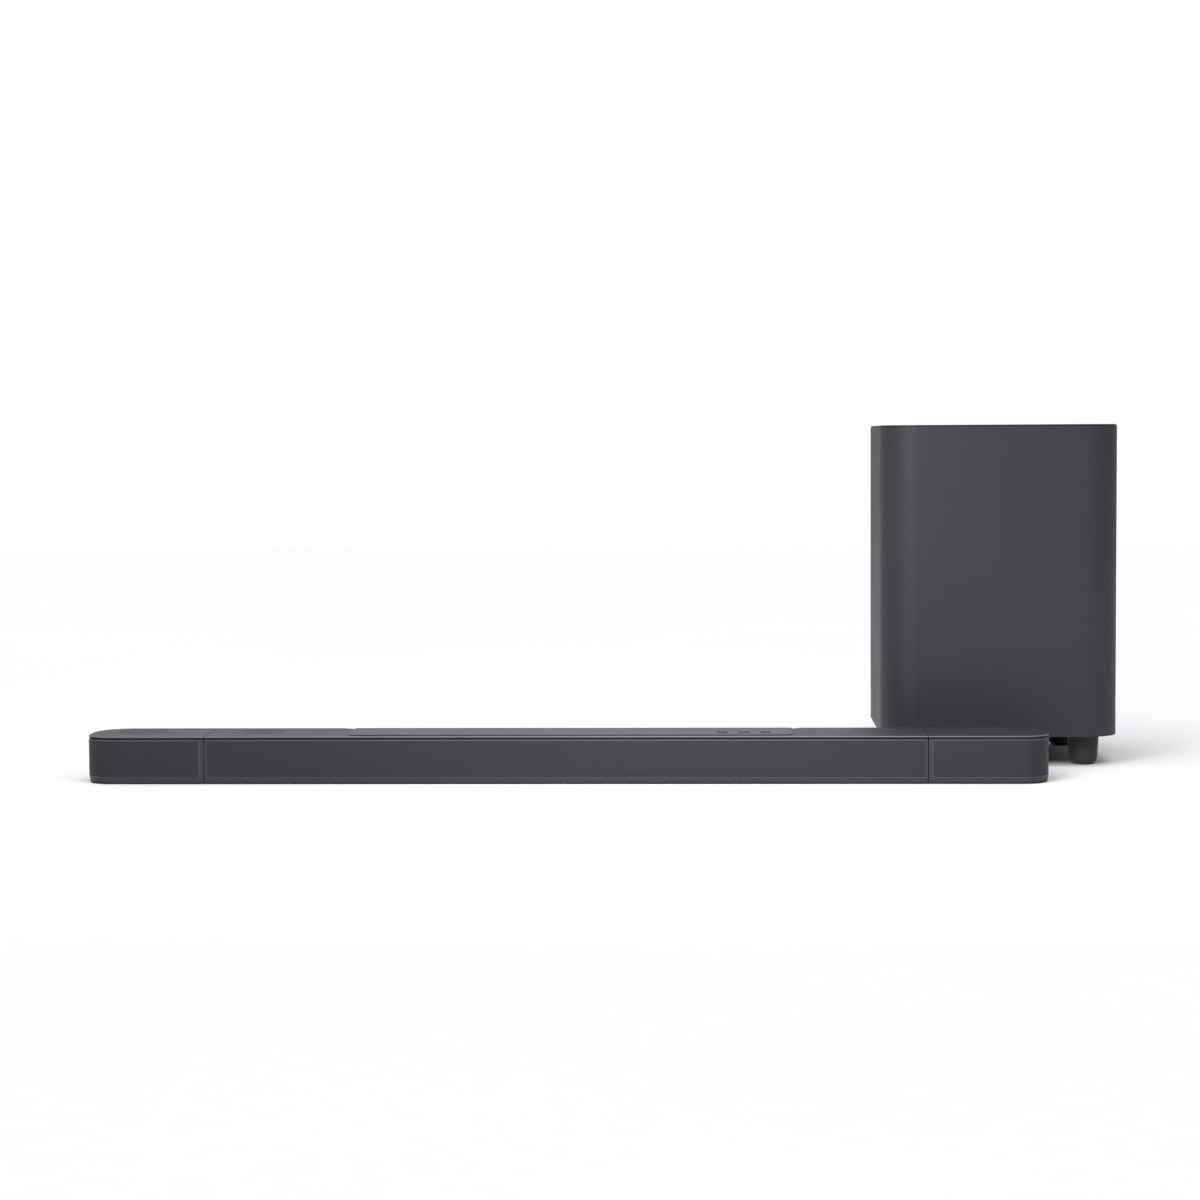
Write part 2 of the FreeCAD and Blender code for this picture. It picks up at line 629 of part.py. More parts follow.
def signal_sockets():
    """Metal shells of the picture, sound, network and service sockets."""
    middle = (BAY_LOW + BAY_HIGH) / 2
    y0, y1 = BAY_FLOOR_Y - SOCKET_DEPTH, BAY_FLOOR_Y + 0.4
    solids = []
    for i, (x, width, height) in enumerate(SOCKETS):
        w, h = width / 2, height / 2
        shell = box(x - w, x + w, y0, y1, middle - h, middle + h)
        shell = shell.cut(box(x - w + SOCKET_WALL, x + w - SOCKET_WALL, y0 + 2, y1 + 1,
                              middle - h + SOCKET_WALL, middle + h - SOCKET_WALL))
        if i in TONGUED:
            shell = fused([shell, box(x - w + 2.2, x + w - 2.2, y0 + 1, y1 - 1.5, middle - 0.6, middle + 0.6)])
        solids.append(shell)
    return Part.makeCompound(solids)


def inlet_block(x, y_front, z):
    """Figure-of-eight mains inlet that faces +Y, with its mouth at y_front."""
    w, h = INLET_W / 2, INLET_H / 2
    body = box(x - w, x + w, y_front - INLET_LENGTH, y_front, z - h, z + h)
    lobe_r, lobe_x = 4.4, 4.3
    mouth = [rod(lobe_r, (x + side * lobe_x, y_front - 13, z), Y_AXIS, 14) for side in (-1, 1)]
    mouth.append(box(x - lobe_x, x + lobe_x, y_front - 13, y_front + 1, z - lobe_r + 0.8, z + lobe_r - 0.8))
    pins = [rod(1.2, (x + side * lobe_x, y_front - 14, z), Y_AXIS, 11) for side in (-1, 1)]
    return fused([cut_all(body, mouth)] + pins)


def bar_screws():
    """Screws that hold the tray to the cover, in counterbores of the floor."""
    solids = []
    for x, y in screw_places():
        head = rod(SCREW_HEAD_R, (x, y, BASE_Z + 0.3), Z_AXIS, 1.1)
        cross = box(x - 1.6, x + 1.6, y - 0.4, y + 0.4, BASE_Z, BASE_Z + 0.9)
        across = box(x - 0.4, x + 0.4, y - 1.6, y + 1.6, BASE_Z, BASE_Z + 0.9)
        shank = rod(SCREW_R, (x, y, BASE_Z + 1.3), Z_AXIS, 10)
        solids.append(fused([head, shank]).cut(cross).cut(across))
    return Part.makeCompound(solids)


def build_main_bar():
    parts["bottom_housing"] = bottom_housing()
    parts["top_cover"] = top_cover()
    parts["control_panel"] = control_panel()
    parts["front_baffle"] = front_baffle()
    parts["front_grille"] = front_grille()
    parts["dock_plates"] = Part.makeCompound([dock_plate(), mirrored(dock_plate())])
    parts["driver_baskets"] = driver_baskets()
    for name, x in zip(WOOFER_NAMES, WOOFER_X):
        parts[name] = place_front(woofer_cone(), x)
    parts["up_cone_left"] = place_up(up_cone(), -UP_X)
    parts["up_cone_right"] = place_up(up_cone(), UP_X)
    parts["main_board"] = main_board()
    parts["power_supply"] = power_supply()
    parts["key_board"] = key_board()
    parts["display_module"] = display_module()
    parts["bay_liner"] = bay_liner()
    parts["socket_plate"] = socket_plate()
    parts["signal_sockets"] = signal_sockets()
    parts["mains_inlet"] = inlet_block(INLET_X, BAY_FLOOR_Y + INLET_PROUD, (BAY_LOW + BAY_HIGH) / 2)
    for name, x in zip(BUTTON_NAMES, BUTTON_X):
        parts[name] = top_button(x)
    parts["bar_feet"] = Part.makeCompound([foot_strip(x, MAIN_FOOT_LENGTH, 0, 0, BASE_Z + FOOT_POCKET)
                                           for x in MAIN_FEET])
    parts["bar_screws"] = bar_screws()


# ---------------------------------------------------------------- right end speaker (left: its mirror)
def end_region(y0=-BAR_DEPTH, y1=BAR_DEPTH):
    return box(END_X, HALF_LENGTH + 1, y0, y1, -1, BAR_TOP + 5)


def end_housing():
    """Shell of an end speaker: floor, baffle behind the grille, back wall and docking wall."""
    floor = bar_slab(BASE_SETBACK, BASE_Z, FLOOR_Z).common(end_region())
    behind = GRILLE_END_Y + 0.4
    baffle = bar_ring(BAFFLE_SETBACK, BAFFLE_SETBACK + BAFFLE, FLOOR_Z - 0.5, WALL_TOP)
    baffle = baffle.common(end_region(y1=behind + WALL))
    back = bar_ring(0, WALL, FLOOR_Z - 0.5, WALL_TOP).common(end_region(behind))
    step = bar_ring(0, BAFFLE_SETBACK + BAFFLE, FLOOR_Z - 0.5, WALL_TOP)
    step = step.common(end_region(behind, behind + WALL))
    inner = box(END_X, END_X + DOCK_PLATE, BAFFLE_Y, BACK_Y, FLOOR_Z - 0.5, WALL_TOP)
    step = step.common(box(HALF_LENGTH - 40, HALF_LENGTH, FRONT_Y, BACK_Y, 0, BAR_TOP))
    shell = fused([floor, baffle, back, step, inner])
    clear = 0.3
    y, z = PLUG_HALF_Y + clear, PLUG_HALF_Z + clear
    tools = [box(END_X - 1, END_X + DOCK_PLATE + 1, -y, y, DOCK_Z - z, DOCK_Z + z)]
    tools += [rod(PIN_R, (END_X - 1, side * PIN_Y, DOCK_Z), X_AXIS, DOCK_PLATE + 2) for side in (-1, 1)]
    tools.append(place_front(stadium(WOOFER_LONG - 6, WOOFER_SHORT - 6, -BAFFLE - 1, 1), END_WOOFER_X))
    tools.append(place_front(rod(10, (0, 0, -BAFFLE - 1), Z_AXIS, BAFFLE + 2), END_TWEETER_X))
    button_x, button_z = END_BUTTON
    tools.append(rod(END_BUTTON_R + FIT, (button_x, BACK_Y - WALL - 1, button_z), Y_AXIS, WALL + 2))
    tools.append(moved(stadium(9.4, 3.6, -WALL - 1, 1), CHARGE_X, BACK_Y, button_z, -90))
    tools += [foot_strip(x, END_FOOT_LENGTH, 0.1, BASE_Z - 1, BASE_Z + FOOT_POCKET) for x in END_FEET]
    return cut_all(shell, tools)


def end_cover():
    rim = bar_slab(0, COVER_Z, BAR_TOP)
    rim = rim.makeFillet(EDGE_R, edges_on_top(rim, BAR_TOP, lambda e: True)).common(end_region())
    liner = bar_slab(BAFFLE_SETBACK + BAFFLE + 0.4, LINER_Z, COVER_Z).common(
        box(END_X + DOCK_PLATE + 0.4, HALF_LENGTH, FRONT_Y, BACK_Y, 0, BAR_TOP))
    return pierced_cover(fused([rim, liner]), END_UP_X)


def end_grille():
    """Sheet metal pan that wraps from the seam round the front corner to the side."""
    region = end_region(y1=GRILLE_END_Y)
    pan = bar_ring(0, GRILLE_DEPTH, FLOOR_Z, GRILLE_TOP).common(region)
    inner_region = box(END_X + SHEET, HALF_LENGTH, -BAR_DEPTH, GRILLE_END_Y - SHEET, 0, BAR_TOP)
    hollow = bar_ring(SHEET, GRILLE_DEPTH + 1, FLOOR_Z + SHEET, GRILLE_TOP - SHEET).common(inner_region)
    return pan.cut(hollow)


def end_drivers(side):
    solids = [place_front(woofer_frame(), side * END_WOOFER_X), place_front(tweeter(), side * END_TWEETER_X)]
    solids.append(place_up(up_frame(), side * END_UP_X))
    return Part.makeCompound(solids)


def end_battery():
    """Two round cells side by side in a shrink-wrapped pack."""
    x, y0, z, cell_r, length = END_X + 15.0, -17.0, 15.0, 9.2, 62.0
    cells = [rod(cell_r, (x + step, y0, z), Y_AXIS, length) for step in (0, 2 * cell_r - 0.6)]
    strap = box(x, x + 2 * cell_r, y0 + 1, y0 + length - 1, z - cell_r, z + cell_r)
    return fused(cells + [strap])


def end_dock_board():
    """Board of an end speaker with its docking plug, and the two steel guide pins."""
    x0 = END_X + DOCK_PLATE
    board = box(x0 + 0.6, x0 + 0.6 + BOARD_THICK, -30, 30, 10, 48)
    nose = END_X - PLUG_LENGTH + 3
    plug = box(nose, x0 + 1, -PLUG_HALF_Y, PLUG_HALF_Y, DOCK_Z - PLUG_HALF_Z, DOCK_Z + PLUG_HALF_Z)
    slot = box(nose - 1, nose + 7, -PLUG_HALF_Y + 3, PLUG_HALF_Y - 3, DOCK_Z - 1.8, DOCK_Z + 1.8)
    pins = []
    for side in (-1, 1):
        pin = rod(PIN_R, (END_X - PIN_LENGTH, side * PIN_Y, DOCK_Z), X_AXIS, PIN_LENGTH + DOCK_PLATE)
        tip = [e for e in pin.Edges if all(abs(v.X - END_X + PIN_LENGTH) < 1e-4 for v in e.Vertexes)]
        pins.append(pin.makeFillet(1.2, tip))
    return Part.makeCompound([fused([board, plug]).cut(slot)] + pins)


def end_button(side):
    x, z = side * END_BUTTON[0], END_BUTTON[1]
    return fused([
        rod(END_BUTTON_R, (x, BACK_Y - WALL, z), Y_AXIS, WALL + 0.4),
        rod(1.5, (x, BACK_Y - WALL - 3, z), Y_AXIS, 4),
    ])


def build_end_speakers():
    handed = {
        "housing": end_housing(),
        "top_cover": end_cover(),
        "grille": end_grille(),
        "battery": end_battery(),
        "dock_board": end_dock_board(),
    }
    for name, shape in handed.items():
        parts["right_speaker_" + name] = shape
        parts["left_speaker_" + name] = mirrored(shape)
    for side, name in ((1, "right_speaker_"), (-1, "left_speaker_")):
        parts[name + "drivers"] = end_drivers(side)
        parts[name + "woofer_cone"] = place_front(woofer_cone(), side * END_WOOFER_X)
        parts[name + "up_cone"] = place_up(up_cone(), side * END_UP_X)
        parts[name + "button"] = end_button(side)
        feet = [foot_strip(side * x, END_FOOT_LENGTH, 0, 0, BASE_Z + FOOT_POCKET) for x in END_FEET]
        parts[name + "feet"] = Part.makeCompound(feet)


# ---------------------------------------------------------------- subwoofer
def sub_slab(inset, z0, z1):
    half = SUB_HALF - inset
    radius = SUB_R - inset
    return rounded_slab(SUB_X - half, SUB_X + half, SUB_Y - half, SUB_Y + half, radius, radius, z0, z1)


def foot_places():
    reach = SUB_HALF - SUB_FOOT_INSET
    return [(SUB_X + i * reach, SUB_Y + j * reach) for i in (-1, 1) for j in (-1, 1)]


def sub_cabinet():
    """Four-sided wooden wrap with round upright corners, open at the top and bottom."""
    wrap = sub_slab(0, SUB_BASE, SUB_TOP - SUB_CAP).cut(sub_slab(SUB_WALL, SUB_BASE - 1, SUB_TOP + 1))
    lip_r = port_outside()[-1][0]
    port_hole = turned([(0, -1), (lip_r, -1)] + port_outside()[::-1] + [(0, PORT_LENGTH)])
    window = rear_opening(-PLATE_OVERLAP, SUB_BACK_Y - SUB_WALL - 1)
    rebate = rear_opening(FIT, SUB_BACK_Y + SUB_PROUD - PLATE_THICK)
    return cut_all(wrap, [place_port(port_hole), window, rebate])


def rear_opening(grow, y0):
    """A block as large as the amplifier's plate, grown all round, from y0 out through the back."""
    reach = PLATE_HALF_X + grow
    return box(SUB_X - reach, SUB_X + reach, y0, SUB_BACK_Y + 1, PLATE_LOW - grow, PLATE_HIGH + grow)


def sub_top_panel():
    """Top board, with a thin cap that covers the upper edge of the wrap."""
    cap = sub_slab(SUB_CAP_INSET, SUB_TOP - SUB_CAP, SUB_TOP)
    cap = cap.makeFillet(0.6, edges_on_top(cap, SUB_TOP, lambda e: True))
    return fused([cap, sub_slab(SUB_WALL + 0.1, SUB_TOP - SUB_BOARD, SUB_TOP - SUB_CAP)])


def sub_bottom_baffle():
    """Board that carries the driver, with holes for the driver and the foot screws."""
    board = sub_slab(SUB_WALL + 0.1, SUB_FLOOR_Z, SUB_FLOOR_Z + SUB_BOARD)
    low, through = SUB_FLOOR_Z - 1, SUB_BOARD + 2
    tools = [rod(SUB_FLANGE_R - 12, (SUB_X, SUB_Y, low), Z_AXIS, through)]
    tools += [rod(SUB_FOOT_SCREW_R + 0.1, (x, y, low), Z_AXIS, through) for x, y in foot_places()]
    return cut_all(board, tools)


def place_sub(shape):
    """Turns a driver face down and hangs its flange under the bottom board."""
    return moved(shape, SUB_X, SUB_Y, SUB_FLOOR_Z, 180)


def sub_basket():
    """Steel basket of the long-throw driver: flange, six arms and back plate."""
    flange = turned([(SUB_OPEN_R, 0), (SUB_FLANGE_R, 0), (SUB_FLANGE_R, 3), (SUB_OPEN_R, 3)])
    wall = turned([
        (SUB_OPEN_R - 4, 0.5), (SUB_OPEN_R, 0.5), (SUB_OPEN_R, 0), (116, 0), (115, -16), (76, -62), (33, -62),
        (33, -59), (74, -59), (112, -14),
    ])
    window = [moved(box(40, 130, -22, 22, -58, -20), 0, 0, 0) for _ in range(6)]
    for i, tool in enumerate(window):
        tool.rotate(ORIGIN, Z_AXIS, 60 * i + 30)
    ledge = turned([(72, -54), (81, -54), (81, -52), (72, -52)])
    return place_sub(fused([flange, cut_all(wall, window), ledge]))


def sub_magnet():
    """Ring magnet between two steel plates, with the pole and the voice coil slot."""
    ring = turned([
        (0, -112), (62, -112), (62, -106), (72, -106), (72, -72), (62, -72), (62, -62.2),
        (SUB_COIL_R + 1.6, -62.2), (SUB_COIL_R + 1.6, -104), (SUB_COIL_R - 1.6, -104),
        (SUB_COIL_R - 1.6, -62.2), (0, -62.2),
    ])
    return place_sub(ring)


def sub_cone():
    return place_sub(round_cone(SUB_CONE_R, SUB_COIL_R, -2, -34, -84, 1.6, 3.0))


def sub_suspension():
    """Half-round rubber roll round the cone, and the corrugated spider that centres the voice coil."""
    roll = round_roll(SUB_OPEN_R - 0.2, SUB_CONE_R + 0.5, 9.0, 1.1)
    inner_r, outer_r, seat, thick, waves, height = SUB_COIL_R + 1.2, 79.0, -52.0, 0.9, 5, 1.6
    steps = 40
    line = []
    for i in range(steps + 1):
        t = i / steps
        rise = height * 0.5 * (1 - math.cos(2 * math.pi * waves * t)) if t < 0.86 else 0
        line.append((inner_r + (outer_r - inner_r) * t, seat + rise))
    upper = [(r, z + thick) for r, z in line]
    return Part.makeCompound([place_sub(roll), place_sub(turned(line + upper[::-1]))])


def sub_feet():
    """Four tapered rubber feet with round lower edges."""
    solids = []
    for x, y in foot_places():
        foot = Part.makeCone(SUB_FOOT_TIP_R, SUB_FOOT_R, SUB_FLOOR_Z, Vector(x, y, 0), Z_AXIS)
        rim = [e for e in foot.Edges if all(abs(v.Z) < 1e-4 for v in e.Vertexes)]
        foot = foot.makeFillet(SUB_FOOT_ROUND, rim)
        solids.append(foot.cut(rod(SUB_FOOT_SCREW_R + 0.1, (x, y, 12), Z_AXIS, SUB_FLOOR_Z)))
    return Part.makeCompound(solids)


def sub_port_tube():
    """Flared bass port, from the back wall into the cabinet."""
    inside = []
    for angle in quarter_turn():
        inside.append((PORT_R + PORT_FLARE * (1 - math.cos(angle)), PORT_FLARE * (1 - math.sin(angle))))
    return place_port(turned([(PORT_R, PORT_LENGTH)] + port_outside() + inside[::-1]))


def port_outside():
    """Outer line of the port, from its inner end to its lip, as (radius, depth)."""
    return [(PORT_R + PORT_WALL, PORT_LENGTH), (PORT_R + PORT_WALL, PORT_WALL + PORT_FLARE),
            (PORT_R + PORT_FLARE + 1, PORT_WALL), (PORT_R + PORT_FLARE + 1, 0)]


def place_port(shape):
    """Turns a shape whose depth runs along +Z into the back wall."""
    return moved(shape, SUB_X, SUB_BACK_Y, PORT_Z, 90)


def quarter_turn():
    steps = 8
    return [math.pi / 2 * i / steps for i in range(steps + 1)]


def sub_rear_plate():
    """Metal plate of the amplifier, let into the back of the cabinet."""
    y1 = SUB_BACK_Y + SUB_PROUD
    y0 = y1 - PLATE_THICK
    plate = rounded_slab(-PLATE_HALF_X, PLATE_HALF_X, PLATE_LOW, PLATE_HIGH, 6, 6, 0, PLATE_THICK)
    plate.rotate(ORIGIN, X_AXIS, 90)
    plate.translate(Vector(SUB_X, y1, 0))
    tools = [box(SUB_X - INLET_W / 2 - 0.2, SUB_X + INLET_W / 2 + 0.2, y0 - 1, y1 + 1,
                 SUB_INLET_Z - INLET_H / 2 - 0.2, SUB_INLET_Z + INLET_H / 2 + 0.2)]
    tools.append(rod(SUB_BUTTON_R + FIT, (SUB_BUTTON[0], y0 - 1, SUB_BUTTON[1]), Y_AXIS, PLATE_THICK + 2))
    tools += [rod(2.2, (x, y0 - 1, z), Y_AXIS, PLATE_THICK + 2) for x, z in plate_screws()]
    return cut_all(plate, tools)


def plate_screws():
    x = PLATE_HALF_X - PLATE_OVERLAP / 2
    heights = (PLATE_LOW + PLATE_OVERLAP / 2, (PLATE_LOW + PLATE_HIGH) / 2, PLATE_HIGH - PLATE_OVERLAP / 2)
    return [(SUB_X + side * x, z) for side in (-1, 1) for z in heights]


def sub_amplifier():
    """Amplifier board with its transformer, capacitors and finned heat sink."""
    y = SUB_BACK_Y - 24
    board = box(SUB_X - 60, SUB_X + 60, y - BOARD_THICK, y, PLATE_LOW + 44, PLATE_HIGH - 16)
    blocks = [box(SUB_X - 50, SUB_X - 6, y - 38, y - 1, PLATE_LOW + 54, PLATE_LOW + 94)]
    blocks += [rod(11, (SUB_X + x, y - 30, PLATE_LOW + 66), Y_AXIS, 29) for x in (14, 40)]
    blocks += [box(SUB_X - 50 + 10 * i, SUB_X - 47 + 10 * i, y - 32, y - 1, PLATE_LOW + 108, PLATE_LOW + 158)
               for i in range(11)]
    posts = [rod(4, (SUB_X + i * 54, y - 0.1, z), Y_AXIS, 24 + SUB_PROUD - PLATE_THICK + 0.1)
             for i in (-1, 1) for z in (PLATE_LOW + 50, PLATE_HIGH - 22)]
    return fused([board] + blocks + posts)


def sub_button():
    x, z = SUB_BUTTON
    y = SUB_BACK_Y + SUB_PROUD - PLATE_THICK
    return fused([
        rod(SUB_BUTTON_R, (x, y, z), Y_AXIS, PLATE_THICK + 0.8),
        rod(2, (x, y - 4, z), Y_AXIS, 5),
    ])


def sub_screws():
    """Foot screws, the screws of the back plate and those of the driver."""
    y = SUB_BACK_Y + SUB_PROUD
    solids = []
    for x, z in plate_screws():
        head = rod(3.4, (x, y, z), Y_AXIS, 1.6)
        shank = rod(1.9, (x, y - PLATE_THICK, z), Y_AXIS, PLATE_THICK + 0.1)
        cross = [box(x - w, x + w, y + 0.8, y + 2, z - h, z + h) for w, h in ((2, 0.5), (0.5, 2))]
        solids.append(cut_all(fused([head, shank]), cross))
    length = SUB_FLOOR_Z + SUB_BOARD - 14
    solids += [rod(SUB_FOOT_SCREW_R, (x, y, 12.2), Z_AXIS, length) for x, y in foot_places()]
    for i in range(8):
        angle = math.radians(45 * i + 22.5)
        x, y = SUB_X + 123 * math.cos(angle), SUB_Y + 123 * math.sin(angle)
        solids.append(rod(3.2, (x, y, SUB_FLOOR_Z - 4.6), Z_AXIS, 1.6))
    return Part.makeCompound(solids)


def build_subwoofer():
    parts["sub_cabinet"] = sub_cabinet()
    parts["sub_top_panel"] = sub_top_panel()
    parts["sub_bottom_baffle"] = sub_bottom_baffle()
    parts["sub_basket"] = sub_basket()
    parts["sub_magnet"] = sub_magnet()
    parts["sub_cone"] = sub_cone()
    parts["sub_suspension"] = sub_suspension()
    parts["sub_port_tube"] = sub_port_tube()
    parts["sub_rear_plate"] = sub_rear_plate()
    parts["sub_amplifier"] = sub_amplifier()
    parts["sub_mains_inlet"] = inlet_block(SUB_X, SUB_BACK_Y + 1.0, SUB_INLET_Z)
    parts["sub_connect_button"] = sub_button()
    parts["sub_feet"] = sub_feet()
    parts["sub_screws"] = sub_screws()


build_main_bar()
build_end_speakers()
build_subwoofer()

os.makedirs("parts", exist_ok=True)
for name, shape in sorted(parts.items()):
    shape.exportStep(os.path.join("parts", name + ".step"))
    print(f"{name:28s} solids {len(shape.Solids):3d}  valid {shape.isValid()}  {shape.Volume / 1000:9.2f} cm3")
print(len(parts), "nodes")
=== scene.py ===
import json
import math

import bpy
from mathutils import Matrix, Vector


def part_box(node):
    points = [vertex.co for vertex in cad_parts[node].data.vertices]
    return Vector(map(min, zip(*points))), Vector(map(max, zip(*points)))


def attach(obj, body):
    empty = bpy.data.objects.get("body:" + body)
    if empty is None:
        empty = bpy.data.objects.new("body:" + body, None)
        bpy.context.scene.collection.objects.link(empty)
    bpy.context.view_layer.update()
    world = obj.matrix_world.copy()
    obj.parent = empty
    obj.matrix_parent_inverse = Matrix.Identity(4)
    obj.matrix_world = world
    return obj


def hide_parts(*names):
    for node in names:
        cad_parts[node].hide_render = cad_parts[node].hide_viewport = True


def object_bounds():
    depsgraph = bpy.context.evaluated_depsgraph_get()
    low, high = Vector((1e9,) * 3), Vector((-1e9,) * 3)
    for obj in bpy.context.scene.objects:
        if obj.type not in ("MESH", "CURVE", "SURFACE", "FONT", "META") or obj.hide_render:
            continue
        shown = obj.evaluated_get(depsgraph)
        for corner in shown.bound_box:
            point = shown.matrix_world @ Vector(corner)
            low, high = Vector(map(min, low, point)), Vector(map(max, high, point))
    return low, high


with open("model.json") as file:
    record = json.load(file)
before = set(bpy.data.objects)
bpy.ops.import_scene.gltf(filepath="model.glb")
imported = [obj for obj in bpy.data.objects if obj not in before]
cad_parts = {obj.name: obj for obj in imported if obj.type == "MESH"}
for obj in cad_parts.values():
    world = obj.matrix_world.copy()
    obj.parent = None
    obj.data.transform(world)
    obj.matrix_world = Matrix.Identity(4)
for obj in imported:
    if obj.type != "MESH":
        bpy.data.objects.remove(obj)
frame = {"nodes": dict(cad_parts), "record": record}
cad_low, cad_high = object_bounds()

# Looks of the soundbar set: perforated grilles with cloth behind them, printed marks on the buttons, and a
# procedural finish for every piece.
# Metres, in the frame of the part: +X along the bar, +Y to the back, +Z up, the floor at Z = 0.

# The grilles are sheet-metal pans. Their field of holes stands forward of the hem that runs round it.
SHEET = 0.0009
PAN_DEPTH = 0.004
FRONT_CORNER_R = 0.032
HOLE_PITCH = 0.003
HOLE_RADIUS = 0.00104
HEM_TOP = 0.0026
HEM_LOW = 0.005
HEM_MAIN = 0.003
HEM_END = 0.006
FIELD_RIM = 0.0005
EMBOSS = 0.0006
BEND = 0.0009
BEND_STEPS = 3
CORNER_STEPS = 4
FIELD_CORNER = 0.0012
EMBOSS_CORNER = 0.0016
HIGHLIGHT_BAND_CORNER = 0.0018
PAN_CORNER = 0.0008
INNER_CORNER = 0.0004
HEXAGON = [math.radians(60 * n - 30) for n in range(6)]
HEXAGON_BORDER = ((2, 0), (2, 1), (1, 1), (0, 1), (0, 0), (1, 0))
SMOOTH_BELOW = math.radians(40)

# Their edges get a painted highlight: how wide the band beside the pressed edge is, and how strongly each
# edge is painted lighter.
HIGHLIGHT_BAND = 0.0004
PRESSED_HIGHLIGHT = 0.9
BENT_HIGHLIGHT = 0.3

# Cloth behind the holes: its thickness, how far behind the front it lies, how far it laps past the field
# and the size of its mesh.
CLOTH = 0.0002
CLOTH_DEPTH = 0.00100
CLOTH_LAP = 0.0003
CLOTH_GRID = 0.006

# Marks on the buttons
MARK_WIDTH = 0.0006
MARK_HEIGHT = 0.00004
MARK_REACH = 0.0021
MARK_GAP = 0.00002
MARK_ROUND_STEPS = 4
POWER_ARC = (130, 410)
POWER_ARC_STEPS = 28
POWER_BAR_MIDDLE = 0.6 * MARK_REACH
POWER_BAR_HALF = 0.55 * MARK_REACH

# The docks of the end speakers: the thickness of the wall that the plug and pins come through, and a distance
# from the middle that lies between the plug and the pins
DOCK_WALL = 0.003
DOCK_PIN_INNER = 0.025
DOCK_PIN_STEEL = ((0.42, 0.42, 0.43), (0.58, 0.58, 0.59))

# The studio: a large floor, dim sides and three broad glows, each with its axis, where along that axis it
# starts and where it is full, and its strength
FLOOR_SIZE = 14.0
FLOOR_STEPS = 8
FLOOR_DROP = 0.0002
STUDIO_TINT = (0.96, 0.96, 1.0)
STUDIO_SIDE = 0.06
STUDIO_GLOWS = (("Y", 0.10, 0.95, 0.46), ("Y", -0.10, -0.95, 0.03), ("Z", 0.25, 0.90, 0.90))
SUN_STRENGTH = 1.25
SUN_SPREAD = math.radians(70)
SUN_TURN = (math.radians(26), math.radians(-6), 0)
SOFT_BOX_PLACE = (0.15, -0.62, 0.58)
SOFT_BOX_TARGET = (0.15, 0.0, 0.03)
SOFT_BOX_SIZE = (0.4, 0.35)
SOFT_BOX_RADIANCE = 10.5

# The camera: where it stands, and how far it is turned about each of its axes, in radians
CAMERA_PLACE = (0.1905, -3.4061, 0.4239)
CAMERA_YAW = -0.0432
CAMERA_PITCH = 0.0585
CAMERA_ROLL = -0.0057
LENS_MM = 82.24
SENSOR_MM = 36.0
CLIP = (0.05, 50)

# In every finish: the share of its colour that changes in large patches, the share of its roughness that does
# and how much finer those patches are, and where the painted highlight on a rounded edge starts and is full
PATCH_SHARE = 0.55
WORN_SHARE = 0.6
WORN_FINER = 3.1
SLOPE_RANGE = (0.06, 0.22)
SHEEN_ROUGHNESS = 0.4
COAT_ROUGHNESS = 0.12
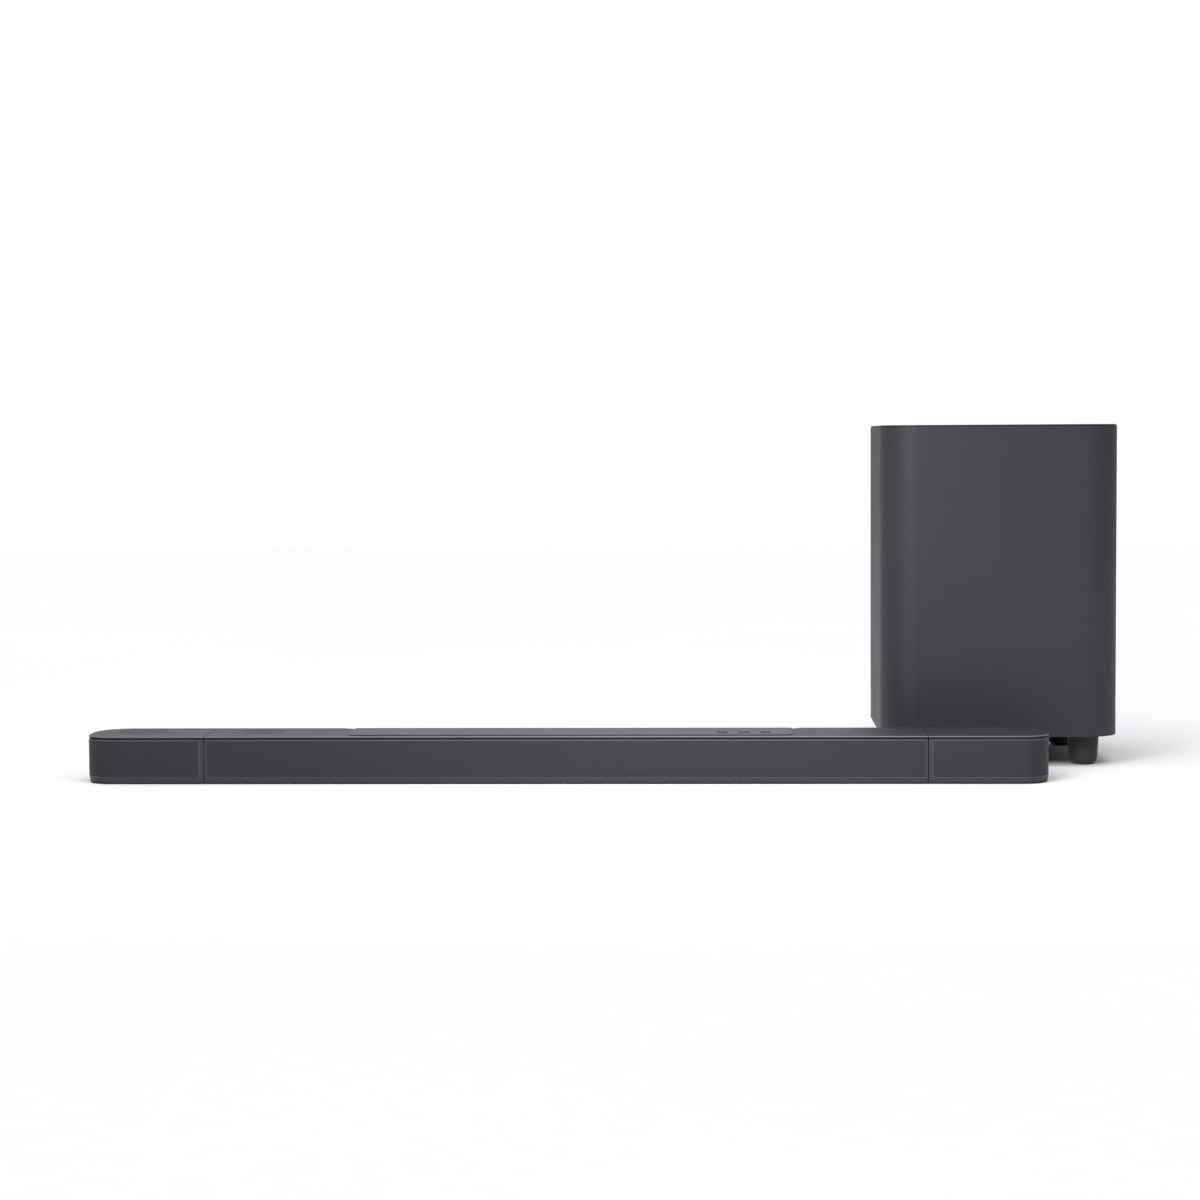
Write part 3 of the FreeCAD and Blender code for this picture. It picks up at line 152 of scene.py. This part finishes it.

# Each finish lies between a dark and a light colour, and between its smoothest and its roughest. grain is the
# number of grains in a metre, bump the height of the relief, patch the number of colour patches in a metre,
# rounded the radius that its edges seem to have and rim the colour of the painted highlight on its edges.
FINISHES = {
    "cover_plastic": dict(
        dark=(0.030, 0.029, 0.039), light=(0.040, 0.038, 0.050), rough=(0.34, 0.48), grain=2600, bump=0.00004,
        patch=9, rounded=0.0003, rim=(0.200, 0.196, 0.225)),
    "housing_plastic": dict(
        dark=(0.024, 0.023, 0.028), light=(0.033, 0.032, 0.038), rough=(0.48, 0.62), grain=1800, bump=0.00006,
        patch=8, rounded=0.0004),
    "panel_plastic": dict(
        dark=(0.040, 0.038, 0.048), light=(0.048, 0.046, 0.057), rough=(0.28, 0.38), grain=3600, bump=0.00001,
        patch=7, rounded=0.0001, rim=(0.205, 0.200, 0.228)),
    "grille_metal": dict(
        dark=(0.023, 0.022, 0.029), light=(0.031, 0.030, 0.039), rough=(0.42, 0.56), grain=2400, bump=0.00003,
        patch=5, rim=(0.105, 0.102, 0.122), highlight_from_mesh=True),
    "acoustic_cloth": dict(
        dark=(0.051, 0.049, 0.065), light=(0.070, 0.067, 0.088), rough=(0.7, 0.9), grain=5000, bump=0.00006,
        sheen=0.2, specular=0.2),
    "button_plastic": dict(
        dark=(0.036, 0.034, 0.044), light=(0.046, 0.044, 0.055), rough=(0.30, 0.42), grain=3200, bump=0.00002,
        rounded=0.0002),
    "mark_paint": dict(
        dark=(0.010, 0.010, 0.012), light=(0.018, 0.018, 0.020), rough=(0.45, 0.6), grain=3000, bump=0.00001),
    "cabinet_wrap": dict(
        dark=(0.0258, 0.0248, 0.0350), light=(0.0330, 0.0320, 0.0448), rough=(0.48, 0.60), grain=1500,
        bump=0.00005, patch=4, specular=0.38, rounded=0.0005),
    "lid_wrap": dict(
        dark=(0.0130, 0.0125, 0.0175), light=(0.0170, 0.0165, 0.0230), rough=(0.44, 0.56), grain=1500,
        bump=0.00005, patch=4, specular=0.32, rounded=0.0005),
    "foot_rubber": dict(
        dark=(0.026, 0.026, 0.028), light=(0.038, 0.038, 0.041), rough=(0.62, 0.82), grain=1300, bump=0.00010,
        sheen=0.15, specular=0.35),
    "plate_metal": dict(
        dark=(0.010, 0.010, 0.011), light=(0.017, 0.017, 0.018), rough=(0.42, 0.58), grain=1500, bump=0.00007,
        rounded=0.0004),
    "inlet_plastic": dict(
        dark=(0.010, 0.010, 0.011), light=(0.017, 0.017, 0.018), rough=(0.45, 0.6), grain=1600, bump=0.00005,
        rounded=0.0003),
    "socket_steel": dict(
        dark=(0.42, 0.42, 0.43), light=(0.60, 0.60, 0.61), rough=(0.22, 0.38), grain=500, bump=0.00001,
        metallic=1.0, stretch=(1, 14, 1)),
    "screw_steel": dict(
        dark=(0.05, 0.05, 0.055), light=(0.10, 0.10, 0.105), rough=(0.3, 0.5), grain=900, bump=0.00002,
        metallic=0.9, rounded=0.0002),
    "dock_fittings": dict(
        dark=(0.010, 0.010, 0.011), light=(0.018, 0.018, 0.019), rough=(0.30, 0.48), grain=1600,
        bump=0.00003),
    "circuit_board": dict(
        dark=(0.006, 0.050, 0.022), light=(0.012, 0.085, 0.040), rough=(0.28, 0.42), grain=500, bump=0.00003,
        patch=60),
    "battery_wrap": dict(
        dark=(0.010, 0.050, 0.20), light=(0.018, 0.080, 0.29), rough=(0.2, 0.34), grain=240, bump=0.00005,
        coat=0.3),
    "display_lens": dict(
        dark=(0.004, 0.004, 0.005), light=(0.007, 0.007, 0.009), rough=(0.06, 0.12), grain=300, bump=0.000002,
        coat=0.5),
    "baffle_plastic": dict(
        dark=(0.006, 0.006, 0.007), light=(0.010, 0.010, 0.011), rough=(0.6, 0.8), grain=900, bump=0.00008),
    "basket_metal": dict(
        dark=(0.012, 0.012, 0.013), light=(0.022, 0.022, 0.023), rough=(0.4, 0.6), grain=1200, bump=0.00005,
        metallic=0.3, rounded=0.0004),
    "magnet_metal": dict(
        dark=(0.020, 0.021, 0.024), light=(0.045, 0.046, 0.050), rough=(0.38, 0.6), grain=700, bump=0.00006,
        metallic=0.7),
    "cone_paper": dict(
        dark=(0.012, 0.012, 0.012), light=(0.028, 0.027, 0.026), rough=(0.65, 0.85), grain=420, bump=0.00022,
        patch=24),
    "suspension_rubber": dict(
        dark=(0.008, 0.008, 0.009), light=(0.014, 0.014, 0.015), rough=(0.45, 0.62), grain=1100, bump=0.00006,
        sheen=0.1),
    "studio_floor": dict(
        dark=(0.93, 0.93, 0.93), light=(0.96, 0.96, 0.96), rough=(0.7, 0.85), grain=40, bump=0.00002, patch=1,
        specular=0.1),
}

# CAD nodes whose finish isn't the one of their material slot
OWN_FINISH = {
    "left_speaker_dock_board": "dock_fittings",
    "right_speaker_dock_board": "dock_fittings",
    "sub_top_panel": "lid_wrap",
}


# ---------------------------------------------------------------- meshes
def mesh_object(name, points, faces, smooth=True):
    mesh = bpy.data.meshes.new(name)
    mesh.from_pydata(points, [], faces)
    mesh.validate()
    if smooth:
        mesh.shade_smooth()
        mesh.set_sharp_from_angle(angle=SMOOTH_BELOW)
    made = bpy.data.objects.new(name, mesh)
    bpy.context.scene.collection.objects.link(made)
    return made


def dress(piece, body, slot, *stands_for, finish=None):
    """Gives a piece its finish (by its slot or as named) and body, and hides the CAD nodes it stands for."""
    piece.data.materials.append(finishes[finish or slot])
    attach(piece, body)
    if stands_for:
        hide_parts(*stands_for)


# ---------------------------------------------------------------- grilles
def straight_front(low, high):
    """Places points on the flat front of the main bar: s runs along it, depth goes behind it."""
    def place(s, depth, z):
        return Vector((low.x + s, low.y + depth, z))
    return place, high.x - low.x


def wrapped_front(low, high, side):
    """Places points on an end speaker's front, which turns the corner and runs back along the side."""
    seam, end = (low.x, high.x) if side > 0 else (-high.x, -low.x)
    run = end - seam - FRONT_CORNER_R
    arc = FRONT_CORNER_R * math.pi / 2
    centre_y = low.y + FRONT_CORNER_R

    def place(s, depth, z):
        if s < run:
            x, y = seam + s, low.y + depth
        elif s < run + arc:
            angle = (s - run) / FRONT_CORNER_R
            radius = FRONT_CORNER_R - depth
            x, y = seam + run + radius * math.sin(angle), centre_y - radius * math.cos(angle)
        else:
            x, y = end - depth, centre_y + s - run - arc
        return Vector((side * x, y, z))
    return place, run + arc + high.y - centre_y


class Pan:
    """A bent sheet-metal pan with a raised field of hexagonal holes, as one closed mesh.

    s runs along the front and z up it. A lattice of points covers the field, half a pitch apart along s and a
    row of holes apart in z. A hole takes two cells of it, side by side, and every second row starts a cell
    later. Layer 0 is the front of the sheet and layer 1 its back."""

    def __init__(self, place, length, low, high, side_hem, curved):
        self.place, self.length, self.low, self.high = place, length, low, high
        self.s0, self.s1 = side_hem, length - side_hem
        self.z0, self.z1 = low + HEM_LOW, high - HEM_TOP
        self.wide = 2 * round((self.s1 - self.s0) / HOLE_PITCH)
        self.tall = round((self.z1 - self.z0) / (HOLE_PITCH * math.sqrt(3) / 2))
        self.step, self.row = (self.s1 - self.s0) / self.wide, (self.z1 - self.z0) / self.tall
        self.between = list(range(2, self.wide - 1, 2)) if curved else []
        self.points, self.faces, self.lattice, self.worn_and_highlit = [], [], {}, {}
        self.lay_lattice()
        self.cut_holes()
        self.close_sheet()

    def add(self, s, depth, z):
        self.points.append(self.place(s, depth, z))
        return len(self.points) - 1

    def lay_lattice(self):
        for layer in range(2):
            for k in range(self.tall + 1):
                for j in range(self.wide + 1):
                    s, z = self.s0 + j * self.step, self.z0 + k * self.row
                    self.lattice[layer, j, k] = self.add(s, layer * SHEET, z)

    def cut_holes(self):
        for k in range(self.tall):
            offset = k % 2
            for j in range(offset, self.wide - 1, 2):
                self.cut_hole(j, k)
            if offset:
                self.fill_cell(0, k)
                self.fill_cell(self.wide - 1, k)

    def cut_hole(self, j, k):
        """Joins the lattice points round a hole to its own corners, front and back, and lines the hole."""
        s, z = self.s0 + (j + 1) * self.step, self.z0 + (k + 0.5) * self.row
        borders, rings = [], []
        for layer in range(2):
            borders.append([self.lattice[layer, j + a, k + b] for a, b in HEXAGON_BORDER])
            rings.append([self.add(s + HOLE_RADIUS * math.cos(angle), layer * SHEET,
                                   z + HOLE_RADIUS * math.sin(angle)) for angle in HEXAGON])
        for n in range(len(HEXAGON)):
            m = (n + 1) % len(HEXAGON)
            self.faces.append([borders[0][n], borders[0][m], rings[0][m], rings[0][n]])
            self.faces.append([borders[1][m], borders[1][n], rings[1][n], rings[1][m]])
            self.faces.append([rings[0][n], rings[0][m], rings[1][m], rings[1][n]])

    def fill_cell(self, j, k):
        cell = [(j, k), (j + 1, k), (j + 1, k + 1), (j, k + 1)]
        self.faces.append([self.lattice[0, a, b] for a, b in cell])
        self.faces.append([self.lattice[1, a, b] for a, b in reversed(cell)])

    def field_border(self):
        """Lattice places round the field of holes, anticlockwise as seen from the front."""
        places = [(j, 0) for j in range(self.wide)]
        places += [(self.wide, k) for k in range(self.tall)]
        places += [(j, self.tall) for j in range(self.wide, 0, -1)]
        places += [(0, k) for k in range(self.tall, 0, -1)]
        return places

    def loop(self, left, right, bottom, top, radius, depth):
        """A rounded rectangle round the field, with extra points where the sheet is curved."""
        spots = [(self.s0 + j * self.step, bottom) for j in self.between]
        corners = ((right - radius, bottom + radius, 270), (right - radius, top - radius, 0),
                   (left + radius, top - radius, 90), (left + radius, bottom + radius, 180))
        for index, (s, z, start) in enumerate(corners):
            for n in range(CORNER_STEPS + 1):
                angle = math.radians(start + 90 * n / CORNER_STEPS)
                spots.append((s + radius * math.cos(angle), z + radius * math.sin(angle)))
            if index == 1:
                spots += [(self.s0 + j * self.step, top) for j in reversed(self.between)]
        return [self.add(s, depth, z) for s, z in spots]

    def field_loop(self, grow, radius, depth):
        return self.loop(self.s0 - grow, self.s1 + grow, self.z0 - grow, self.z1 + grow, radius, depth)

    def edge_loop(self, inset, radius, depth):
        return self.loop(inset, self.length - inset, self.low + inset, self.high - inset, radius, depth)

    def ties(self):
        """Pairs of a lattice place and the index in a loop that it is joined to, in the loop's order."""
        half, turn = CORNER_STEPS // 2, CORNER_STEPS + 1
        pairs = [((j, 0), n) for n, j in enumerate(self.between)]
        after = len(self.between)
        pairs += [((self.wide, 0), after + half), ((self.wide, self.tall), after + turn + half)]
        after += 2 * turn
        pairs += [((j, self.tall), after + n) for n, j in enumerate(self.between[::-1])]
        after += len(self.between)
        pairs += [((0, self.tall), after + half), ((0, 0), after + turn + half)]
        return pairs

    def join_field(self, layer, ring):
        """Joins the field of holes to the loop round it, front or back."""
        border = self.field_border()
        field = [self.lattice[layer, j, k] for j, k in border]
        where = {place: index for index, place in enumerate(border)}
        pairs = self.ties()
        for (place_a, a), (place_b, b) in zip(pairs, pairs[1:] + pairs[:1]):
            inner = stretch_of(field, where[place_a], where[place_b])
            face = stretch_of(ring, a, b) + inner[::-1]
            self.faces.append(face if layer == 0 else face[::-1])

    def close_sheet(self):
        """Runs loops from the field out over its pressed edge, round the pan's bent rim and back inside."""
        pressed = FIELD_RIM + EMBOSS
        loops = [self.field_loop(FIELD_RIM, FIELD_CORNER, 0), self.field_loop(pressed, EMBOSS_CORNER, EMBOSS)]
        # The pressed edge gets a full painted highlight, which fades out over the band beside it.
        self.worn_and_highlit.update(dict.fromkeys(loops[-1], PRESSED_HIGHLIGHT))
        loops.append(self.field_loop(pressed + HIGHLIGHT_BAND, HIGHLIGHT_BAND_CORNER, EMBOSS))
        for n in range(BEND_STEPS + 1):
            angle = math.pi / 2 * n / BEND_STEPS
            inset, depth = BEND * (1 - math.sin(angle)), EMBOSS + BEND * (1 - math.cos(angle))
            loops.append(self.edge_loop(inset, PAN_CORNER, depth))
            # The rounded bend of the rim gets a weaker painted highlight.
            if 0 < n < BEND_STEPS:
                self.worn_and_highlit.update(dict.fromkeys(loops[-1], BENT_HIGHLIGHT))
        loops += [self.edge_loop(0, PAN_CORNER, PAN_DEPTH), self.edge_loop(SHEET, INNER_CORNER, PAN_DEPTH)]
        loops.append(self.edge_loop(SHEET, INNER_CORNER, EMBOSS + SHEET))
        loops.append(self.field_loop(pressed, FIELD_CORNER, EMBOSS + SHEET))
        loops.append(self.field_loop(FIELD_RIM, FIELD_CORNER, SHEET))
        self.join_field(0, loops[0])
        self.join_field(1, loops[-1])
        for inner, outer in zip(loops, loops[1:]):
            for n in range(len(inner)):
                m = (n + 1) % len(inner)
                self.faces.append([outer[n], outer[m], inner[m], inner[n]])


def stretch_of(ring, start, end):
    """The items of a closed ring from start to end, both included, going on past its last one if need be."""
    if end <= start:
        end += len(ring)
    return [ring[i % len(ring)] for i in range(start, end + 1)]


def perforated_sheet(name, place, length, low, high, side_hem, curved, flipped):
    """The pan as an object. Its mesh says in a point attribute how much painted highlight each point gets."""
    pan = Pan(place, length, low, high, side_hem, curved)
    faces = [face[::-1] for face in pan.faces] if flipped else pan.faces
    sheet = mesh_object(name, pan.points, faces)
    # Each point's share of painted highlight, which the grille's finish reads.
    painted_highlight = sheet.data.attributes.new("painted_highlight", "FLOAT", "POINT")
    for index, share in pan.worn_and_highlit.items():
        painted_highlight.data[index].value = share
    return sheet


def backing_cloth(name, place, length, low, high, side_hem, flipped):
    """Thin cloth stretched over the back of the holes, as one closed mesh, with its width and height."""
    s0 = side_hem - CLOTH_LAP
    width = length - 2 * s0
    z0, z1 = low + HEM_LOW - CLOTH_LAP, high - HEM_TOP + CLOTH_LAP
    columns, rows = round(width / CLOTH_GRID), round((z1 - z0) / CLOTH_GRID)
    points, faces = [], []
    for depth in (CLOTH_DEPTH, CLOTH_DEPTH + CLOTH):
        points += [place(s0 + width * i / columns, depth, z0 + (z1 - z0) * k / rows)
                   for k in range(rows + 1) for i in range(columns + 1)]
    layer, line = len(points) // 2, columns + 1
    for k in range(rows):
        for i in range(columns):
            here = i + k * line
            front = [here, here + 1, here + 1 + line, here + line]
            faces += [front, [layer + n for n in reversed(front)]]
    border = list(range(columns)) + [columns + k * line for k in range(rows)]
    border += [i + rows * line for i in range(columns, 0, -1)] + [k * line for k in range(rows, 0, -1)]
    for here, after in zip(border, border[1:] + border[:1]):
        faces.append([after, here, layer + here, layer + after])
    if flipped:
        faces = [face[::-1] for face in faces]
    return mesh_object(name, points, faces), width, z1 - z0


def build_grille(name, body, side_hem, place, length, curved=False, flipped=False):
    low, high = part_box(name)
    sheet = perforated_sheet(name + "_sheet", place, length, low.z, high.z, side_hem, curved, flipped)
    dress(sheet, body, "grille_metal", name)
    cloth, width, height = backing_cloth(name + "_cloth", place, length, low.z, high.z, side_hem, flipped)
    dress(cloth, body, "grille_metal", finish="acoustic_cloth")


def build_grilles():
    build_grille("front_grille", "bar", HEM_MAIN, *straight_front(*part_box("front_grille")))
    for side, body in ((1, "right_speaker"), (-1, "left_speaker")):
        name = body + "_grille"
        place, length = wrapped_front(*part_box(name), side)
        build_grille(name, body, HEM_END, place, length, curved=True, flipped=side < 0)


# ---------------------------------------------------------------- marks on the buttons
def prism(outline, z0, z1):
    """Points and faces of an upright block on a flat outline, given anticlockwise."""
    count = len(outline)
    points = [(x, y, z) for z in (z0, z1) for x, y in outline]
    faces = [list(range(count))[::-1], list(range(count, 2 * count))]
    faces += [[n, (n + 1) % count, count + (n + 1) % count, count + n] for n in range(count)]
    return points, faces


def bar_outline(x, y, half_x, half_y):
    """A bar with round ends along its longer side."""
    radius = min(half_x, half_y)
    outline = []
    for quarter, (sx, sy) in enumerate(((1, 1), (-1, 1), (-1, -1), (1, -1))):
        for n in range(MARK_ROUND_STEPS + 1):
            angle = math.radians(90 * quarter + 90 * n / MARK_ROUND_STEPS)
            outline.append((x + sx * (half_x - radius) + radius * math.cos(angle),
                            y + sy * (half_y - radius) + radius * math.sin(angle)))
    return outline


def power_arc(x, y):
    """The open ring of a power mark."""
    start, end = POWER_ARC
    angles = [math.radians(start + (end - start) * n / POWER_ARC_STEPS) for n in range(POWER_ARC_STEPS + 1)]
    outer, inner = [[(x + radius * math.cos(a), y + radius * math.sin(a)) for a in angles]
                    for radius in (MARK_REACH + MARK_WIDTH / 2, MARK_REACH - MARK_WIDTH / 2)]
    return outer + inner[::-1]


def build_mark(key, outlines, z):
    """Ink of the given outlines, half sunk into the top of a button at height z."""
    points, faces = [], []
    for outline in outlines:
        more_points, more_faces = prism(outline, z - MARK_HEIGHT, z + MARK_HEIGHT)
        faces += [[len(points) + n for n in face] for face in more_faces]
        points += more_points
    ink = mesh_object("mark_" + key, points, faces, smooth=False)
    dress(ink, "key_" + key, "button_plastic", finish="mark_paint")


def build_marks():
    """Power, minus and plus on the three top buttons."""
    half = MARK_WIDTH / 2
    arm = (MARK_REACH - half) / 2 - MARK_GAP
    for key in ("power", "volume_down", "volume_up"):
        low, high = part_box("button_" + key)
        x, y = (low.x + high.x) / 2, (low.y + high.y) / 2
        if key == "power":
            outlines = [power_arc(x, y), bar_outline(x, y + POWER_BAR_MIDDLE, half, POWER_BAR_HALF)]
        else:
            outlines = [bar_outline(x, y, MARK_REACH, half)]
        if key == "volume_up":
            outlines += [bar_outline(x, y + sign * (half + arm + MARK_GAP), half, arm) for sign in (1, -1)]
        build_mark(key, outlines, high.z)


# ---------------------------------------------------------------- materials
def node(tree, kind, inputs=(), **settings):
    """Adds a node; an input given as a socket is linked, and any other value is set on it."""
    made = tree.nodes.new(kind)
    for key, value in settings.items():
        setattr(made, key, value)
    for key, value in dict(inputs).items():
        if isinstance(value, bpy.types.NodeSocket):
            tree.links.new(value, made.inputs[key])
        else:
            made.inputs[key].default_value = value
    return made


def maths(tree, operation, *values, clamp=False):
    made = node(tree, "ShaderNodeMath", enumerate(values), operation=operation, use_clamp=clamp)
    return made.outputs["Value"]


def noise(tree, where, scale, detail=3.0, rough=0.55, stretch=None):
    if stretch:
        where = node(tree, "ShaderNodeMapping", {"Vector": where, "Scale": stretch}).outputs["Vector"]
    sockets = {"Vector": where, "Scale": scale, "Detail": detail, "Roughness": rough}
    return node(tree, "ShaderNodeTexNoise", sockets).outputs["Fac"]


def spread(tree, factor, low, high, from_low=0.3, from_high=0.7):
    """Stretches a factor, by default the middle range of a noise, over the range from low to high."""
    sockets = {"Value": factor, "From Min": from_low, "From Max": from_high, "To Min": low, "To Max": high}
    return node(tree, "ShaderNodeMapRange", sockets).outputs["Result"]


def blend(tree, factor, first, second):
    """Mixes two colours, each a colour socket or red, green and blue, by a node's colour sockets 6 and 7."""
    sockets = {"Factor": factor}
    for index, colour in ((6, first), (7, second)):
        sockets[index] = colour if isinstance(colour, bpy.types.NodeSocket) else (*colour, 1)
    return node(tree, "ShaderNodeMix", sockets, data_type="RGBA").outputs[2]


def slope_share(tree):
    """1 on edges that are rounded over between a level and an upright face, and 0 on both: where a painted
    highlight goes.
    """
    normal = node(tree, "ShaderNodeNewGeometry").outputs["Normal"]
    level = node(tree, "ShaderNodeSeparateXYZ", {"Vector": normal}).outputs["Z"]
    square = maths(tree, "MULTIPLY", level, level)
    slope = maths(tree, "MULTIPLY", square, maths(tree, "SUBTRACT", 1.0, square))
    return spread(tree, slope, 0.0, 1.0, *SLOPE_RANGE)


def edge_highlight_share(tree):
    """How much painted highlight the edges of a grille get, as its mesh says."""
    return node(tree, "ShaderNodeAttribute", attribute_name="painted_highlight").outputs["Fac"]


def finish_of(name, dark, light, rough, grain, bump, metallic=0.0, specular=0.5, patch=6.0, sheen=0.0,
              coat=0.0, stretch=None, rounded=0.0, rim=None, highlight_from_mesh=False):
    """A finish with large soft colour patches and a fine grain in colour, roughness and relief."""
    material = bpy.data.materials.new(name)
    material.use_nodes = True
    tree = material.node_tree
    shader = tree.nodes["Principled BSDF"]
    where = node(tree, "ShaderNodeTexCoord").outputs["Object"]
    fine = noise(tree, where, grain, detail=2.0, rough=0.6, stretch=stretch)
    patches = spread(tree, noise(tree, where, patch, detail=4.0), 0, PATCH_SHARE)
    colour = blend(tree, maths(tree, "ADD", patches, spread(tree, fine, 0, 1 - PATCH_SHARE)), dark, light)
    # Rounded edges, or the edges that the mesh marks, get a painted highlight in the rim colour.
    if rim:
        colour = blend(tree, edge_highlight_share(tree) if highlight_from_mesh else slope_share(tree), colour, rim)
    tree.links.new(colour, shader.inputs["Base Color"])
    worn_and_highlit = spread(tree, noise(tree, where, patch * WORN_FINER), 0, WORN_SHARE)
    uneven = maths(tree, "ADD", worn_and_highlit, spread(tree, fine, 0, 1 - WORN_SHARE))
    tree.links.new(spread(tree, uneven, *rough, 0.0, 1.0), shader.inputs["Roughness"])
    relief = {"Height": fine, "Strength": 1.0, "Distance": bump}
    if rounded:
        relief["Normal"] = node(tree, "ShaderNodeBevel", {"Radius": rounded}, samples=4).outputs["Normal"]
    tree.links.new(node(tree, "ShaderNodeBump", relief).outputs["Normal"], shader.inputs["Normal"])
    shader.inputs["Metallic"].default_value = metallic
    shader.inputs["Specular IOR Level"].default_value = specular
    if sheen:
        shader.inputs["Sheen Weight"].default_value = sheen
        shader.inputs["Sheen Roughness"].default_value = SHEEN_ROUGHNESS
    if coat:
        shader.inputs["Coat Weight"].default_value = coat
        shader.inputs["Coat Roughness"].default_value = COAT_ROUGHNESS
    return material


def show_dock_parts(material):
    """Keeps the finish on the plug of a dock, and gives its board and its steel pins their own colours."""
    tree = material.node_tree
    shader = tree.nodes["Principled BSDF"]
    where = node(tree, "ShaderNodeTexCoord").outputs["Object"]
    place = node(tree, "ShaderNodeSeparateXYZ", {"Vector": where}).outputs
    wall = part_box("right_speaker_housing")[0].x + DOCK_WALL
    inside = maths(tree, "GREATER_THAN", maths(tree, "ABSOLUTE", place["X"]), wall)
    aside = maths(tree, "GREATER_THAN", maths(tree, "ABSOLUTE", place["Y"]), DOCK_PIN_INNER)
    pins = maths(tree, "SUBTRACT", aside, inside, clamp=True)
    board = FINISHES["circuit_board"]
    grain = noise(tree, where, board["grain"], detail=2.0)
    colour = shader.inputs["Base Color"].links[0].from_socket
    for share, shades in ((inside, (board["dark"], board["light"])), (pins, DOCK_PIN_STEEL)):
        colour = blend(tree, share, colour, blend(tree, grain, *shades))
    tree.links.new(colour, shader.inputs["Base Color"])
    tree.links.new(pins, shader.inputs["Metallic"])


def paint_frame():
    """Every CAD node gets the finish of its material slot or its own."""
    for row in frame["record"]["subparts"]:
        mesh = frame["nodes"][row["node"]].data
        mesh.materials.clear()
        mesh.materials.append(finishes[OWN_FINISH.get(row["node"], row["material_slot"])])


# ---------------------------------------------------------------- floor, light and camera
def build_floor():
    centre = (cad_low + cad_high) / 2
    line = FLOOR_STEPS + 1
    away = [FLOOR_SIZE * (n / FLOOR_STEPS - 0.5) for n in range(line)]
    points = [(centre.x + across, centre.y + along, -FLOOR_DROP) for along in away for across in away]
    corners = [i + j * line for j in range(FLOOR_STEPS) for i in range(FLOOR_STEPS)]
    faces = [[n, n + 1, n + 1 + line, n + line] for n in corners]
    floor = mesh_object("studio_floor", points, faces, smooth=False)
    floor.data.materials.append(finishes["studio_floor"])


def build_world():
    """A studio, bright behind and overhead and dim in front and at the sides, with a plain white backdrop."""
    world = bpy.data.worlds.new("studio")
    world.use_nodes = True
    tree = world.node_tree
    direction = node(tree, "ShaderNodeTexCoord").outputs["Generated"]
    parts = node(tree, "ShaderNodeSeparateXYZ", {"Vector": direction}).outputs
    strength = STUDIO_SIDE
    for axis, start, full, added in STUDIO_GLOWS:
        sockets = {"Value": parts[axis], "From Min": start, "From Max": full, "To Min": 0.0, "To Max": added}
        glow = node(tree, "ShaderNodeMapRange", sockets, interpolation_type="SMOOTHSTEP").outputs["Result"]
        strength = maths(tree, "ADD", strength, glow)
    studio = tree.nodes["Background"]
    studio.inputs["Color"].default_value = (*STUDIO_TINT, 1)
    tree.links.new(strength, studio.inputs["Strength"])
    backdrop = node(tree, "ShaderNodeBackground", {"Color": (1, 1, 1, 1), "Strength": 1.0})
    seen = node(tree, "ShaderNodeLightPath").outputs["Is Camera Ray"]
    sockets = {0: seen, 1: studio.outputs["Background"], 2: backdrop.outputs["Background"]}
    mixed = node(tree, "ShaderNodeMixShader", sockets)
    tree.links.new(mixed.outputs["Shader"], tree.nodes["World Output"].inputs["Surface"])
    bpy.context.scene.world = world


def add_lamp(name, lamp, place, turn):
    made = bpy.data.objects.new(name, lamp)
    made.location = place
    made.rotation_euler = turn
    bpy.context.scene.collection.objects.link(made)
    return made


def build_lights():
    """An even light from above and a soft box over the front of the bar, which the camera doesn't see."""
    sun = bpy.data.lights.new("even_light", "SUN")
    sun.energy, sun.angle = SUN_STRENGTH, SUN_SPREAD
    add_lamp("even_light", sun, (0, 0, 0), SUN_TURN)
    width, height = SOFT_BOX_SIZE
    panel = bpy.data.lights.new("front_light", "AREA")
    panel.shape = "RECTANGLE"
    panel.size, panel.size_y = width, height
    panel.energy = SOFT_BOX_RADIANCE * math.pi * width * height
    aim = Vector(SOFT_BOX_TARGET) - Vector(SOFT_BOX_PLACE)
    soft_box = add_lamp("front_light", panel, SOFT_BOX_PLACE, aim.to_track_quat("-Z", "Y").to_euler())
    soft_box.visible_camera = False


def build_camera():
    """The photograph's view: from in front, a little right of the bar's middle and from just above it."""
    ahead = Vector((math.sin(CAMERA_YAW), math.cos(CAMERA_YAW), 0))
    right = Vector((math.cos(CAMERA_YAW), -math.sin(CAMERA_YAW), 0))
    up = Vector((0, 0, 1))
    view = ahead * math.cos(CAMERA_PITCH) - up * math.sin(CAMERA_PITCH)
    view_up = up * math.cos(CAMERA_PITCH) + ahead * math.sin(CAMERA_PITCH)
    rolled_right = right * math.cos(CAMERA_ROLL) + view_up * math.sin(CAMERA_ROLL)
    rolled_up = view_up * math.cos(CAMERA_ROLL) - right * math.sin(CAMERA_ROLL)
    camera = bpy.data.cameras.new("camera")
    camera.lens, camera.sensor_width = LENS_MM, SENSOR_MM
    camera.clip_start, camera.clip_end = CLIP
    made = bpy.data.objects.new("camera", camera)
    turn = Matrix((rolled_right, rolled_up, -view)).transposed().to_4x4()
    made.matrix_world = Matrix.Translation(CAMERA_PLACE) @ turn
    bpy.context.scene.collection.objects.link(made)
    bpy.context.scene.camera = made


finishes = {name: finish_of(name, **values) for name, values in FINISHES.items()}
show_dock_parts(finishes["dock_fittings"])
paint_frame()
build_grilles()
build_marks()
build_floor()
build_world()
build_lights()
build_camera()
bpy.context.scene.view_settings.view_transform = "Standard"
